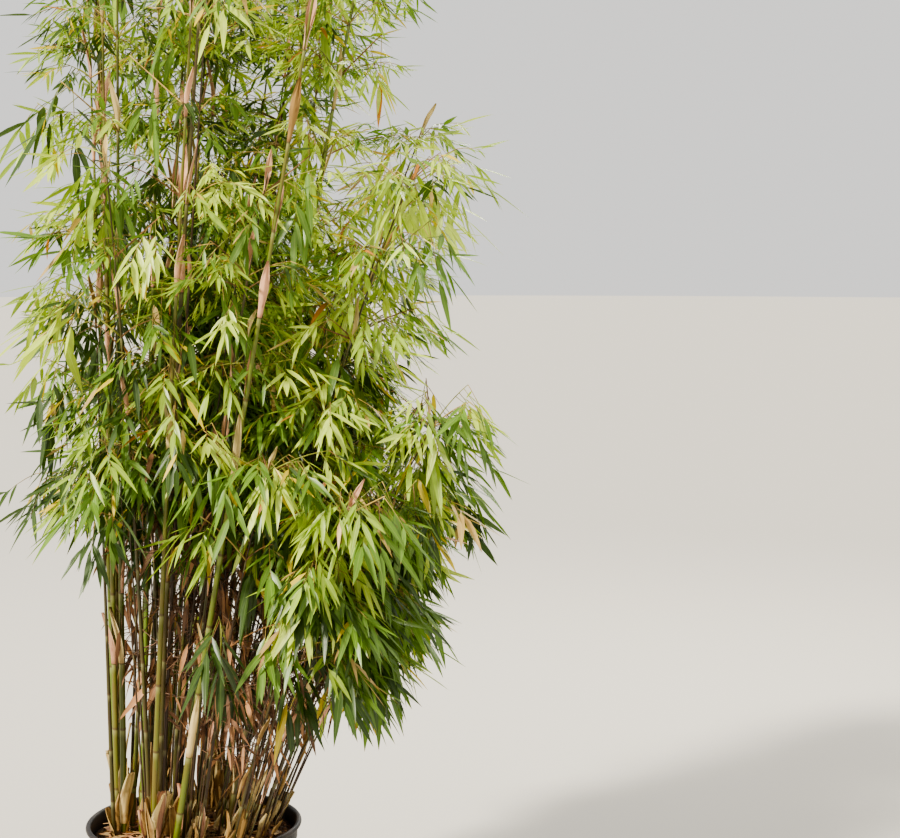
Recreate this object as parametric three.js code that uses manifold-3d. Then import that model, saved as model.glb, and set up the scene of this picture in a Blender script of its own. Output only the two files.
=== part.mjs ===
// Potted clumping bamboo: a black nursery container with its root ball, a fan of canes that rises from
// the root ball, and the leafy top of each cane, which grows on from where the bare length ends.
// Millimetres, +Z up. The origin is the middle of the container's flat underside, and the clump leans
// towards +X. Every cane is one tapering rod with papery sheaths, and every leafy top is one solid of
// stem, side twigs and leaves that keeps to its own space among its neighbours.
import * as THREE from "three";
import { mergeVertices } from "three/addons/utils/BufferGeometryUtils.js";
import Module from "manifold-3d";

const wasm = await Module();
wasm.setup();

// Container and root ball
const POT_HEIGHT = 330;
const RIM_RADIUS = 210;
const RIM_DEPTH = 12;
const RIM_OVERHANG = 8;
const RIM_ROUND = 3;
const POT_TAPER = 16;
const POT_WALL = 3.2;
const POT_FLOOR = 4;
const FOOT_CHAMFER = 4;
const POT_SIDES = 48;
const SOIL_TOP = 302;
const SEAT_GAP = 0.3;

// Canes: where they stand, and how far the fan opens, with leans in degrees
const FOOT_SPREAD = 168;
const FOOT_PHASE = 1.25;
const FOOT_SHUFFLE = 95;
const GOLDEN_ANGLE = Math.PI * (3 - Math.sqrt(5));
const LEAN_TO_SIDE = 5;
const LEAN_BY_FOOT = 5;
const LEAN_DEPTH_SHARE = 0.8;
const TIP_SHARE = 0.26;
const CANE_SIDES = 6;
const CANE_STEPS = 4;
const AXIS_SAMPLES = 28;

// The three ranks of cane, counted from the upright side of the clump to the side it leans to
const RANKS = [
  { rank: "tall", count: 9, length: 1820, spare: 140, foot: 6.6, fan: 1.2, arch: 90, sag: 15, bare: 0.36 },
  { rank: "middle", count: 7, length: 1340, spare: 210, foot: 4.9, fan: 2.5, arch: 140, sag: 70, bare: 0.38 },
  { rank: "low", count: 6, length: 820, spare: 160, foot: 3.6, fan: 3.1, arch: 80, sag: 75, bare: 0.49 },
];

// Papery sheaths, by shares of the bare length
const SHEATHS = 2;
const SHEATH_FIRST = 0.18;
const SHEATH_SPACING = 0.42;
const SHEATH_SPARE = 0.06;
const SHEATH_LENGTH = 135;
const SHEATH_WIDTH = 24;
const SHEATH_THICK = 3.4;
const SHEATH_SPLAY = 0.13;

// Leafy tops: the stem that carries on, with a joint every so often
const TOP_SIDES = 5;
const TOP_STEPS = 5;
const KNOT_SPACING = 155;
const KNOT_TURN_SPARE = 0.35;
const FIRST_KNOT = 0.05;
const LAST_KNOT = 0.95;

// Side twigs, shorter towards the cane's tip, with angles in degrees
const TWIG_LENGTH = 240;
const TWIG_SHORTENS = 0.5;
const TWIG_SPARE = 0.2;
const TWIG_REACHES = [1, 0.72, 0.48, 0.3];
const TWIG_RISE = 32;
const TWIG_RISE_SPARE = 12;
const TWIG_ROOT = 3.0;
const TWIG_TIP = 2.6;
const TWIG_SIDES = 3;
const FEWEST_LEAVES = 2;

// Leaves, larger than life and fewer, with angles in degrees
const LEAVES_PER_TWIG = 5;
const LEAF_FROM_END = 4;
const LEAF_SPACING = 13;
const LEAF_LENGTH = 185;
const LEAF_LENGTH_SPARE = 0.18;
const LEAF_WIDTH = 34;
const LEAF_THICK = 2.6;
const LEAF_FOLD = 3;
const LEAF_WIDEST = 0.34;
const LEAF_KEEL = 0.05;
const LEAF_SWING = 42;
const LEAF_SWING_SPARE = 25;
const LEAF_DROOP = 40;
const LEAF_DROOP_SPARE = 15;
const LEAF_ROOT_PAST = 0.6;

// Room: how far apart things stay, and how often a leaf is tried
const LEAF_ATTEMPTS = 7;
const ATTEMPT_DROOP = 9;
const LEAF_APART = 16;
const OWN_SPACE_GAP = 4;
const BARE_CLEAR = 16;
const SHORTEST_EDGE = 0.02;
const WELD = 0.001;
const LINE_CHECKS = [0.15, 0.35, 0.55, 0.8, 1];
const BLADE_CHECKS = [0.55, 0.8, 1];

// Which draw of `chance` settles what. Each joint of a cane has a run of draws of its own, and within it
// the length of a twig, the turn of a joint, and each try of a leaf and its droop have steps of theirs.
const DRAW = { order: 1, length: 2, turn: 3, sheathPlace: 20, sheathHeading: 30, crown: 40, knots: 100 };
const DRAWS_PER_KNOT = 20;
const STEP = { twigLength: 0.2, knotTurn: 0.6, attempt: 0.09, droop: 0.04 };
const WAVE = { perCane: 127.1, perDraw: 311.7, start: 17, height: 43758.5453 };

const COLOURS = {
  pot: { color: 0x1b1a1c, roughness: 0.55 },
  soil: { color: 0x4a3322, roughness: 0.95 },
  tall: { color: 0x6c7526, roughness: 0.45 },
  middle: { color: 0x75702a, roughness: 0.5 },
  low: { color: 0x7c6a38, roughness: 0.55 },
  leaf: { color: 0x7fa02c, roughness: 0.5 },
};

const UP = new THREE.Vector3(0, 0, 1);
const radians = THREE.MathUtils.degToRad;

// A repeatable number from 0 to 1 for one cane and one draw.
function chance(cane, draw) {
  const wave = Math.sin(cane * WAVE.perCane + draw * WAVE.perDraw + WAVE.start) * WAVE.height;
  return wave - Math.floor(wave);
}

// A repeatable number from -spare to +spare.
function spread(cane, draw, spare) {
  return (chance(cane, draw) * 2 - 1) * spare;
}

function material(look) {
  return new THREE.MeshStandardMaterial({ metalness: 0, ...look });
}

// A closed geometry as a solid that can be joined.
function solidOf(geometry) {
  const bare = geometry.clone();
  bare.deleteAttribute("normal");
  bare.deleteAttribute("uv");
  const merged = mergeVertices(bare, WELD);
  return new wasm.Manifold(
    new wasm.Mesh({
      numProp: 3,
      vertProperties: new Float32Array(merged.attributes.position.array),
      triVerts: new Uint32Array(merged.index.array),
    }),
  );
}

// The largest body of a joined solid, as a geometry.
function geometryOf(solid) {
  const bodies = solid.decompose().sort((a, b) => b.volume() - a.volume());
  const { vertProperties, triVerts } = bodies[0].getMesh();
  const geometry = new THREE.BufferGeometry();
  geometry.setAttribute("position", new THREE.BufferAttribute(vertProperties, 3));
  geometry.setIndex(new THREE.BufferAttribute(triVerts, 1));
  geometry.computeVertexNormals();
  return geometry;
}

// One geometry from several that reach into each other, with edges too short to keep merged away.
function union(geometries) {
  const joined = geometries.map(solidOf).reduce((all, next) => all.add(next));
  return geometryOf(joined.asOriginal().simplify(SHORTEST_EDGE));
}

// Places each vertex of a geometry where `place` says.
function reshaped(geometry, place) {
  const position = geometry.attributes.position;
  const vertex = new THREE.Vector3();
  for (let i = 0; i < position.count; i += 1) {
    vertex.fromBufferAttribute(position, i);
    const moved = place(vertex);
    position.setXYZ(i, moved.x, moved.y, moved.z);
  }
  return geometry;
}

// A point that lies `distance` from `point` along a direction.
function along(point, way, distance) {
  return point.clone().addScaledVector(way, distance);
}

// The directions across and facing out of something that runs `way`, as seen from `reference`.
function basis(way, reference) {
  const across = way.clone().cross(reference).normalize();
  return { across, facing: across.clone().cross(way) };
}

// A direction from a compass heading in radians and a rise above level in degrees.
function direction(heading, rise) {
  const level = Math.cos(radians(rise));
  return new THREE.Vector3(Math.cos(heading) * level, Math.sin(heading) * level, Math.sin(radians(rise)));
}

// A closed tapering rod on `curve` between two shares of it. A level foot is cut flat, at one height.
function rod(curve, { from = 0, to = 1, radius, sides, steps, levelFoot = false }) {
  const sideways = new THREE.Vector3(0, 1, 0);
  return reshaped(new THREE.CylinderGeometry(1, 1, 1, sides, steps), (vertex) => {
    const share = THREE.MathUtils.lerp(from, to, vertex.y + 0.5);
    const way = curve.getTangent(share);
    const { across, facing } = basis(way, sideways);
    const offset = across.multiplyScalar(vertex.x).addScaledVector(facing, vertex.z);
    offset.multiplyScalar(radius(share));
    if (levelFoot && share === from) offset.addScaledVector(way, -offset.z / way.z);
    return curve.getPoint(share).add(offset);
  });
}

// A pointed blade of eight faces, thick at its root, widest a third of the way out and folded along its rib.
function blade({ root, way, length, width, thick, fold = 0 }) {
  const { across, facing } = basis(way, UP);
  return reshaped(new THREE.OctahedronGeometry(1, 0), (vertex) => {
    const isEnd = Math.abs(vertex.y) > 0.5;
    const isKeel = vertex.z > 0.5;
    const share = isEnd ? (vertex.y + 1) / 2 : isKeel ? LEAF_KEEL : LEAF_WIDEST;
    return along(root, way, share * length)
      .addScaledVector(across, (vertex.x * width) / 2)
      .addScaledVector(facing, (vertex.z * thick) / 2 + Math.abs(vertex.x) * fold);
  });
}

// The feet lie on a sunflower spiral. The canes are ranked from the upright side across.
function rankedFeet() {
  const total = RANKS.reduce((sum, { count }) => sum + count, 0);
  const feet = Array.from({ length: total }, (_, i) => {
    const reach = FOOT_SPREAD * Math.sqrt((i + 0.5) / total);
    const heading = FOOT_PHASE + i * GOLDEN_ANGLE;
    const x = reach * Math.cos(heading);
    return { x, y: reach * Math.sin(heading), order: x + spread(i, DRAW.order, FOOT_SHUFFLE) };
  });
  return feet.sort((a, b) => a.order - b.order);
}

// A cane's line: it leaves the soil leaning outwards by where its foot is, and arches towards its tip.
function caneLine(foot, rank, index) {
  const length = rank.length + spread(index, DRAW.length, rank.spare);
  const lean = (LEAN_BY_FOOT * rank.fan) / FOOT_SPREAD;
  const leanX = radians(LEAN_TO_SIDE + lean * foot.x);
  const leanY = radians(lean * foot.y * LEAN_DEPTH_SHARE);
  const rise = new THREE.Vector3(Math.tan(leanX), Math.tan(leanY), 1).normalize();
  const outwards = new THREE.Vector3(rise.x, rise.y, 0).normalize();
  const start = new THREE.Vector3(foot.x, foot.y, SOIL_TOP + SEAT_GAP);
  const tip = along(start, rise, length).addScaledVector(outwards, rank.arch);
  tip.z -= rank.sag;
  return { curve: new THREE.QuadraticBezierCurve3(start, along(start, rise, length / 2), tip), length };
}

function makeCanes() {
  const feet = rankedFeet();
  const canes = [];
  for (const rank of RANKS) {
    for (let n = 1; n <= rank.count; n += 1) {
      const index = canes.length;
      const line = caneLine(feet[index], rank, index);
      const radius = (share) => rank.foot * (1 - (1 - TIP_SHARE) * share);
      const samples = line.curve.getPoints(AXIS_SAMPLES);
      canes.push({ index, rank, radius, samples, name: `${rank.rank}_${n}`, ...line });
    }
  }
  return canes;
}

// Distance from a point to a cane's line, over its first samples or all of them.
function distanceTo(point, cane, last = AXIS_SAMPLES) {
  const nearest = new THREE.Vector3();
  let least = Infinity;
  for (let i = 0; i < last; i += 1) {
    new THREE.Line3(cane.samples[i], cane.samples[i + 1]).closestPointToPoint(point, true, nearest);
    least = Math.min(least, nearest.distanceTo(point));
  }
  return least;
}

// Whether all the points lie nearer to the cane than to any other, clear of its own bare length and the pot.
function inOwnSpace(points, cane, canes) {
  const { foot, bare } = cane.rank;
  const bareTop = cane.curve.getPoint(bare).z;
  const bareSamples = Math.ceil(bare * AXIS_SAMPLES);
  return points.every((point) => {
    if (point.z < POT_HEIGHT + OWN_SPACE_GAP) return false;
    if (point.z < bareTop && distanceTo(point, cane, bareSamples) < foot + BARE_CLEAR) return false;
    const own = distanceTo(point, cane);
    return canes.every(
      (other) => other === cane || distanceTo(point, other) > Math.max(own, other.rank.foot) + OWN_SPACE_GAP,
    );
  });
}

// The points of a blade that say whether it keeps to its space.
function bladePoints({ root, way, length, width }) {
  const { across } = basis(way, UP);
  const widest = along(root, way, LEAF_WIDEST * length);
  return [
    along(root, way, LEAF_FROM_END + OWN_SPACE_GAP),
    along(widest, across, width / 2),
    along(widest, across, -width / 2),
    ...BLADE_CHECKS.map((share) => along(root, way, share * length)),
  ];
}

// Whether a line stays apart from the lines that are already there.
function isApart(start, end, lines) {
  const point = new THREE.Vector3();
  const nearest = new THREE.Vector3();
  return lines.every((line) =>
    LINE_CHECKS.every((share) => {
      point.lerpVectors(start, end, share);
      line.closestPointToPoint(point, true, nearest);
      return nearest.distanceTo(point) > LEAF_APART;
    }),
  );
}

// A cane's bare length: a rod with a flat foot, and sheaths that stand off it from its joints.
function caneSolid(cane, canes) {
  const { curve, rank, radius, index } = cane;
  const stem = { to: rank.bare, radius, sides: CANE_SIDES, steps: CANE_STEPS, levelFoot: true };
  const parts = [rod(curve, stem)];
  for (let n = 0; n < SHEATHS; n += 1) {
    const place = SHEATH_FIRST + SHEATH_SPACING * n + spread(index, DRAW.sheathPlace + n, SHEATH_SPARE);
    const share = rank.bare * place;
    const outwards = direction(2 * Math.PI * chance(index, DRAW.sheathHeading + n), 0);
    const way = along(curve.getTangent(share), outwards, SHEATH_SPLAY).normalize();
    const root = curve.getPoint(share);
    const sheath = { root, way, length: SHEATH_LENGTH, width: SHEATH_WIDTH, thick: SHEATH_THICK };
    const isClear = bladePoints(sheath).every((point) =>
      canes.every((other) => other === cane || distanceTo(point, other) > other.rank.foot + OWN_SPACE_GAP),
    );
    if (isClear) parts.push(blade(sheath));
  }
  return union(parts);
}

// One leaf, tried a few ways, more drooping each time. Nothing, where none of them keeps to its space.
function findLeaf(joint, heading, draw, { cane, canes, lines }) {
  const length = LEAF_LENGTH * (1 + spread(cane.index, draw, LEAF_LENGTH_SPARE));
  for (let attempt = 1; attempt <= LEAF_ATTEMPTS; attempt += 1) {
    const pick = draw + STEP.attempt * attempt;
    const swing = heading + radians(spread(cane.index, pick, LEAF_SWING_SPARE));
    const extra = spread(cane.index, pick + STEP.droop, LEAF_DROOP_SPARE);
    const way = direction(swing, -(LEAF_DROOP + (attempt - 1) * ATTEMPT_DROOP + extra));
    const root = along(joint, way, -LEAF_ROOT_PAST);
    const leaf = { root, way, length, width: LEAF_WIDTH, thick: LEAF_THICK, fold: LEAF_FOLD };
    const isFree = isApart(root, along(root, way, length), lines);
    if (isFree && inOwnSpace(bladePoints(leaf), cane, canes)) return leaf;
  }
  return undefined;
}

// The leaves of one twig: the first at its end, and the rest on alternate sides of its last stretch.
function twigLeaves(end, way, heading, draw, top) {
  const leaves = [];
  for (let n = 0; n < LEAVES_PER_TWIG; n += 1) {
    const side = n === 0 ? 0 : (-1) ** n;
    const joint = along(end, way, -LEAF_FROM_END - n * LEAF_SPACING);
    const leaf = findLeaf(joint, heading + radians(side * LEAF_SWING), draw + n, top);
    if (leaf) {
      leaves.push(blade(leaf));
      top.lines.push(new THREE.Line3(leaf.root, along(leaf.root, leaf.way, leaf.length)));
    }
  }
  return leaves;
}

// A side twig with its leaves, as long as fits, or nothing.
function sideTwig(share, heading, draw, top) {
  const { cane, canes, lines } = top;
  const start = cane.curve.getPoint(share);
  const way = direction(heading, TWIG_RISE + spread(cane.index, draw, TWIG_RISE_SPARE));
  const spare = spread(cane.index, draw + STEP.twigLength, TWIG_SPARE);
  const full = TWIG_LENGTH * (1 - TWIG_SHORTENS * share) * (1 + spare);
  for (const reach of TWIG_REACHES) {
    const middle = along(start, way, (full * reach) / 2);
    const end = along(start, way, full * reach);
    if (isApart(middle, end, lines) && inOwnSpace([middle, end], cane, canes)) {
      const leaves = twigLeaves(end, way, heading, draw + 1, top);
      if (leaves.length >= FEWEST_LEAVES) {
        lines.push(new THREE.Line3(start, end));
        const radius = (part) => THREE.MathUtils.lerp(TWIG_ROOT, TWIG_TIP, part);
        return [rod(new THREE.LineCurve3(start, end), { radius, sides: TWIG_SIDES, steps: 1 }), ...leaves];
      }
    }
  }
  return [];
}

// A cane's leafy top: the stem that carries on, a twig at each joint, and a crowning fan of leaves.
function topSolid(cane, canes) {
  const { curve, rank, radius, index, length } = cane;
  const from = rank.bare + SEAT_GAP / length;
  const parts = [rod(curve, { from, radius, sides: TOP_SIDES, steps: TOP_STEPS })];
  const top = { cane, canes, lines: [] };
  const turn = 2 * Math.PI * chance(index, DRAW.turn);
  const knots = Math.round((length * (1 - rank.bare)) / KNOT_SPACING);
  for (let n = 0; n < knots; n += 1) {
    const place = THREE.MathUtils.lerp(FIRST_KNOT, LAST_KNOT, n / (knots - 1));
    const draw = DRAW.knots + n * DRAWS_PER_KNOT;
    const heading = turn + n * GOLDEN_ANGLE + spread(index, draw + STEP.knotTurn, KNOT_TURN_SPARE);
    parts.push(...sideTwig(THREE.MathUtils.lerp(rank.bare, 1, place), heading, draw, top));
  }
  parts.push(...twigLeaves(curve.getPoint(1), curve.getTangent(1), turn, DRAW.crown, top));
  return union(parts);
}

// A closed outline of [radius, height] corners, turned about the upright axis.
function turned(corners) {
  const points = corners.map(([radius, height]) => new THREE.Vector2(radius, height));
  return new THREE.LatheGeometry(points, POT_SIDES).rotateX(Math.PI / 2);
}

// The container: outer wall, a rim that stands out all round, inner wall and floor.
function potGeometry() {
  const wallTop = RIM_RADIUS - RIM_OVERHANG;
  const base = wallTop - POT_TAPER;
  const rimFoot = POT_HEIGHT - RIM_DEPTH;
  return turned([
    [0, 0],
    [base - FOOT_CHAMFER, 0],
    [base, FOOT_CHAMFER],
    [wallTop, rimFoot],
    [RIM_RADIUS - RIM_ROUND, rimFoot],
    [RIM_RADIUS, rimFoot + RIM_ROUND],
    [RIM_RADIUS, POT_HEIGHT - RIM_ROUND],
    [RIM_RADIUS - RIM_ROUND, POT_HEIGHT],
    [wallTop - POT_WALL + RIM_ROUND, POT_HEIGHT],
    [wallTop - POT_WALL, POT_HEIGHT - RIM_ROUND],
    [base - POT_WALL, POT_FLOOR],
    [0, POT_FLOOR],
  ]);
}

// The root ball fills the container to a little under its rim.
function rootBallGeometry() {
  const low = POT_FLOOR + SEAT_GAP;
  const base = RIM_RADIUS - RIM_OVERHANG - POT_TAPER - POT_WALL - SEAT_GAP;
  const widens = (POT_TAPER * (SOIL_TOP - POT_FLOOR)) / (POT_HEIGHT - RIM_ROUND - POT_FLOOR);
  return turned([
    [0, low],
    [base, low],
    [base + widens, SOIL_TOP],
    [0, SOIL_TOP],
  ]);
}

const bamboo = new THREE.Group();

function add(name, geometry, look) {
  const mesh = new THREE.Mesh(geometry, material(look));
  mesh.name = name;
  bamboo.add(mesh);
}

add("pot", potGeometry(), COLOURS.pot);
add("root_ball", rootBallGeometry(), COLOURS.soil);
const canes = makeCanes();
for (const cane of canes) {
  add(`cane_${cane.name}`, caneSolid(cane, canes), COLOURS[cane.rank.rank]);
  add(`top_${cane.name}`, topSolid(cane, canes), COLOURS.leaf);
}

export default bamboo;
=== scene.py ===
"""The looks of a potted clumping bamboo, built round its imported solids. Metres, +Z up."""

import functools
import math

import bpy
import numpy as np
from bpy.props import FloatProperty, FloatVectorProperty, IntProperty, PointerProperty
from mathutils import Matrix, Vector, noise


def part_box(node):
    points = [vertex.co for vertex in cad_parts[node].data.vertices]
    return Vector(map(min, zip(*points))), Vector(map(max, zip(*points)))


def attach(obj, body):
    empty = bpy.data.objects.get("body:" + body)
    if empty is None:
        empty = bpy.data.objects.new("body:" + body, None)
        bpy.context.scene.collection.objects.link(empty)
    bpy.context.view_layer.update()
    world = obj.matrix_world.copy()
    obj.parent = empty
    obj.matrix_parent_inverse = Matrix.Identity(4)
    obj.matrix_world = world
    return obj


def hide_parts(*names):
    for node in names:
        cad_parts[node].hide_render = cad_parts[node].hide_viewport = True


bl_info = {
    "name": "Potted bamboo",
    "version": (1, 0, 0),
    "blender": (4, 5, 0),
    "location": "3D View > Sidebar > Bamboo",
    "description": "Builds a potted clumping bamboo round its solids",
    "category": "Add Mesh",
}

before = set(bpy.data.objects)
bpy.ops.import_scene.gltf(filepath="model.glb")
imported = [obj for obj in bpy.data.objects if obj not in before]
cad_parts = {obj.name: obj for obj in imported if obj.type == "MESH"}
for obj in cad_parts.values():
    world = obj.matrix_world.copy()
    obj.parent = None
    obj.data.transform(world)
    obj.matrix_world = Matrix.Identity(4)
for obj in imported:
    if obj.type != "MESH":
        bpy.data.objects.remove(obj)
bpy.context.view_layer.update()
NODE_BOXES = np.array([[list(corner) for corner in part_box(node)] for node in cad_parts])
CAD_BOX = np.array([NODE_BOXES[:, 0].min(axis=0), NODE_BOXES[:, 1].max(axis=0)])
POT_BOX = np.array([list(corner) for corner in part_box("pot")])
SOIL_BOX = np.array([list(corner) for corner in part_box("root_ball")])
BODY = "root"

POT_HEIGHT = float(POT_BOX[1][2])
RIM_RADIUS = float(POT_BOX[1][0])
SOIL_TOP = float(SOIL_BOX[1][2])
SOIL_RADIUS = float(SOIL_BOX[1][0])
SOIL_LOW = float(SOIL_BOX[0][2])

# The growing rule of the solids: where canes stand and how far the fan opens, with leans in degrees
SEAT_GAP = 0.0003
FOOT_SPREAD = 0.168
FOOT_PHASE = 1.25
FOOT_SHUFFLE = 0.095
GOLDEN_ANGLE = math.pi * (3 - math.sqrt(5))
LEAN_TO_SIDE = 5
LEAN_BY_FOOT = 5
LEAN_DEPTH_SHARE = 0.8
TIP_SHARE = 0.26
AXIS_SAMPLES = 28
RANKS = [
    {"rank": "tall", "count": 9, "length": 1.82, "spare": 0.14, "foot": 0.0066, "fan": 1.2, "arch": 0.09,
     "sag": 0.015, "bare": 0.36},
    {"rank": "middle", "count": 7, "length": 1.34, "spare": 0.21, "foot": 0.0049, "fan": 2.5, "arch": 0.14,
     "sag": 0.07, "bare": 0.38},
    {"rank": "low", "count": 6, "length": 0.82, "spare": 0.16, "foot": 0.0036, "fan": 3.1, "arch": 0.08,
     "sag": 0.075, "bare": 0.49},
]

# Joints, twigs and the blades that stand for sprays, with angles in degrees
KNOT_SPACING = 0.155
KNOT_TURN_SPARE = 0.35
FIRST_KNOT = 0.05
LAST_KNOT = 0.95
TWIG_LENGTH = 0.24
TWIG_SHORTENS = 0.5
TWIG_SPARE = 0.2
TWIG_REACHES = [1, 0.72, 0.48, 0.3]
TWIG_RISE = 32
TWIG_RISE_SPARE = 12
FEWEST_BLADES = 2
BLADES_PER_TWIG = 5
BLADE_FROM_END = 0.004
BLADE_SPACING = 0.013
BLADE_LENGTH = 0.185
BLADE_LENGTH_SPARE = 0.18
BLADE_WIDTH = 0.034
BLADE_WIDEST = 0.34
BLADE_SWING = 42
BLADE_SWING_SPARE = 25
BLADE_DROOP = 40
BLADE_DROOP_SPARE = 15
BLADE_ROOT_PAST = 0.0006
BLADE_ATTEMPTS = 7
ATTEMPT_DROOP = 9
BLADE_APART = 0.016
OWN_SPACE_GAP = 0.004
BARE_CLEAR = 0.016
LINE_CHECKS = np.array([0.15, 0.35, 0.55, 0.8, 1.0])
BLADE_CHECKS = [0.55, 0.8, 1.0]

# Which draw of `chance` settles what
DRAW_ORDER = 1
DRAW_LENGTH = 2
DRAW_TURN = 3
DRAW_CROWN = 40
DRAW_KNOTS = 100
DRAWS_PER_KNOT = 20
STEP_TWIG_LENGTH = 0.2
STEP_KNOT_TURN = 0.6
STEP_ATTEMPT = 0.09
STEP_DROOP = 0.04
WAVE = {"cane": 127.1, "draw": 311.7, "start": 17, "height": 43758.5453}

# Finer growth: seeds of the draws that the solids don't make
SEED_FOLLOWERS = 11
SEED_SHOOTS = 13
SEED_SPRAYS = 23
SEED_LEAVES = 31
SEED_SHEATHS = 47
SEED_LITTER = 59
SEED_DEADWOOD = 71

UP = np.array([0.0, 0.0, 1.0])
DOWN = -UP


def chance(cane, draw):
    """A repeatable number from 0 to 1 for one cane and one draw."""
    wave = math.sin(cane * WAVE["cane"] + draw * WAVE["draw"] + WAVE["start"]) * WAVE["height"]
    return wave - math.floor(wave)


def spread(cane, draw, spare):
    """A repeatable number from -spare to +spare."""
    return (chance(cane, draw) * 2 - 1) * spare


def unit(vectors):
    """The same directions, one unit long."""
    return vectors / np.linalg.norm(vectors, axis=-1, keepdims=True)


def direction(heading, rise):
    """A direction from a compass heading in radians and a rise above level in degrees."""
    rise = np.radians(rise)
    parts = (np.cos(heading) * np.cos(rise), np.sin(heading) * np.cos(rise), np.sin(rise))
    return np.stack(np.broadcast_arrays(*parts), axis=-1)


def lerp(low, high, share):
    """The value a share of the way from low to high."""
    return low + (high - low) * share


class Cane:
    """One cane's line, thickness and joints."""

    def __init__(self, name, rank, controls, length, foot, bare, index=0):
        self.name = name
        self.rank = rank
        self.controls = controls
        self.length = length
        self.foot = foot
        self.bare = bare
        self.index = index
        self.samples = self.point(np.linspace(0, 1, AXIS_SAMPLES + 1))

    def point(self, share):
        share = np.asarray(share, float)[..., None]
        start, middle, tip = self.controls
        return (1 - share) ** 2 * start + 2 * share * (1 - share) * middle + share**2 * tip

    def way(self, share):
        share = np.asarray(share, float)[..., None]
        start, middle, tip = self.controls
        return unit((1 - share) * (middle - start) + share * (tip - middle))

    def radius(self, share):
        return self.foot * (1 - (1 - TIP_SHARE) * np.asarray(share, float))

    def knots(self):
        """The shares of its length at which its leafy top has joints."""
        count = max(2, math.floor(self.length * (1 - self.bare) / KNOT_SPACING + 0.5))
        return self.bare + (1 - self.bare) * np.linspace(FIRST_KNOT, LAST_KNOT, count)


class Clump:
    """The canes of the solids, with what it takes to measure how far a point is from each."""

    def __init__(self, canes):
        self.canes = canes
        self.starts = np.stack([cane.samples[:-1] for cane in canes])
        self.ends = np.stack([cane.samples[1:] for cane in canes])
        self.feet = np.array([cane.foot for cane in canes])

    def distances(self, points):
        """Distance from each point to each stretch of each cane."""
        return segment_distances(points[:, None, None, :], self.starts, self.ends)

    def in_own_space(self, points, cane):
        """Whether the points lie nearest to the cane, clear of its bare length and of the pot."""
        points = np.asarray(points)
        if (points[:, 2] < POT_HEIGHT + OWN_SPACE_GAP).any():
            return False
        spans = self.distances(points)
        low = points[:, 2] < cane.point(cane.bare)[2]
        bare = spans[low, cane.index, : math.ceil(cane.bare * AXIS_SAMPLES)]
        if (bare < cane.foot + BARE_CLEAR).any():
            return False
        nearest = spans.min(axis=2)
        own = nearest[:, cane.index, None]
        others = np.delete(nearest, cane.index, axis=1)
        feet = np.delete(self.feet, cane.index)
        return bool((others > np.maximum(own, feet) + OWN_SPACE_GAP).all())


def segment_distances(points, starts, ends):
    """Distance from points to the segments between starts and ends."""
    span = ends - starts
    share = ((points - starts) * span).sum(axis=-1) / (span * span).sum(axis=-1)
    nearest = starts + span * np.clip(share, 0, 1)[..., None]
    return np.linalg.norm(points - nearest, axis=-1)


def share_over(value, start, span):
    """How far a value is on its way from start over a span, from 0 to 1."""
    return np.clip((value - start) / span, 0, 1)


def sway(rng, spare, shape=None):
    """Drawn numbers from -spare to +spare."""
    return rng.uniform(-spare, spare, shape)


def is_apart(start, end, lines):
    """Whether a line stays apart from the lines that are already there."""
    if not lines:
        return True
    points = start + (end - start) * LINE_CHECKS[:, None]
    starts = np.array([line[0] for line in lines])
    ends = np.array([line[1] for line in lines])
    return bool((segment_distances(points[:, None, :], starts, ends) > BLADE_APART).all())


def ranked_feet():
    """The feet on their sunflower spiral, ranked from the upright side across."""
    total = sum(rank["count"] for rank in RANKS)
    feet = []
    for i in range(total):
        reach = FOOT_SPREAD * math.sqrt((i + 0.5) / total)
        heading = FOOT_PHASE + i * GOLDEN_ANGLE
        x = reach * math.cos(heading)
        feet.append((x + spread(i, DRAW_ORDER, FOOT_SHUFFLE), x, reach * math.sin(heading)))
    return [(x, y) for _, x, y in sorted(feet)]


def cane_line(foot, rank, index):
    """The controls of a cane's line and its length, by the rule of the solids."""
    length = rank["length"] + spread(index, DRAW_LENGTH, rank["spare"])
    lean = LEAN_BY_FOOT * rank["fan"] / FOOT_SPREAD
    lean_x = math.radians(LEAN_TO_SIDE + lean * foot[0])
    lean_y = math.radians(lean * foot[1] * LEAN_DEPTH_SHARE)
    rise = unit(np.array([math.tan(lean_x), math.tan(lean_y), 1.0]))
    outwards = unit(rise * [1, 1, 0])
    start = np.array([foot[0], foot[1], SOIL_TOP + SEAT_GAP])
    tip = start + rise * length + outwards * rank["arch"] + DOWN * rank["sag"]
    return np.array([start, start + rise * length / 2, tip]), length


@functools.cache
def clump():
    """The canes of the solids."""
    feet = ranked_feet()
    canes = []
    for rank in RANKS:
        for n in range(1, rank["count"] + 1):
            index = len(canes)
            controls, length = cane_line(feet[index], rank, index)
            name = f"{rank['rank']}_{n}"
            canes.append(Cane(name, rank["rank"], controls, length, rank["foot"], rank["bare"], index))
    return Clump(canes)


def blade_points(root, way, length):
    """The points of a blade that say whether it keeps to its space."""
    across = unit(np.cross(way, UP))
    widest = root + way * BLADE_WIDEST * length
    ends = [root + way * share * length for share in BLADE_CHECKS]
    edges = [widest + across * BLADE_WIDTH / 2, widest - across * BLADE_WIDTH / 2]
    return [root + way * (BLADE_FROM_END + OWN_SPACE_GAP), *edges, *ends]


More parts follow.
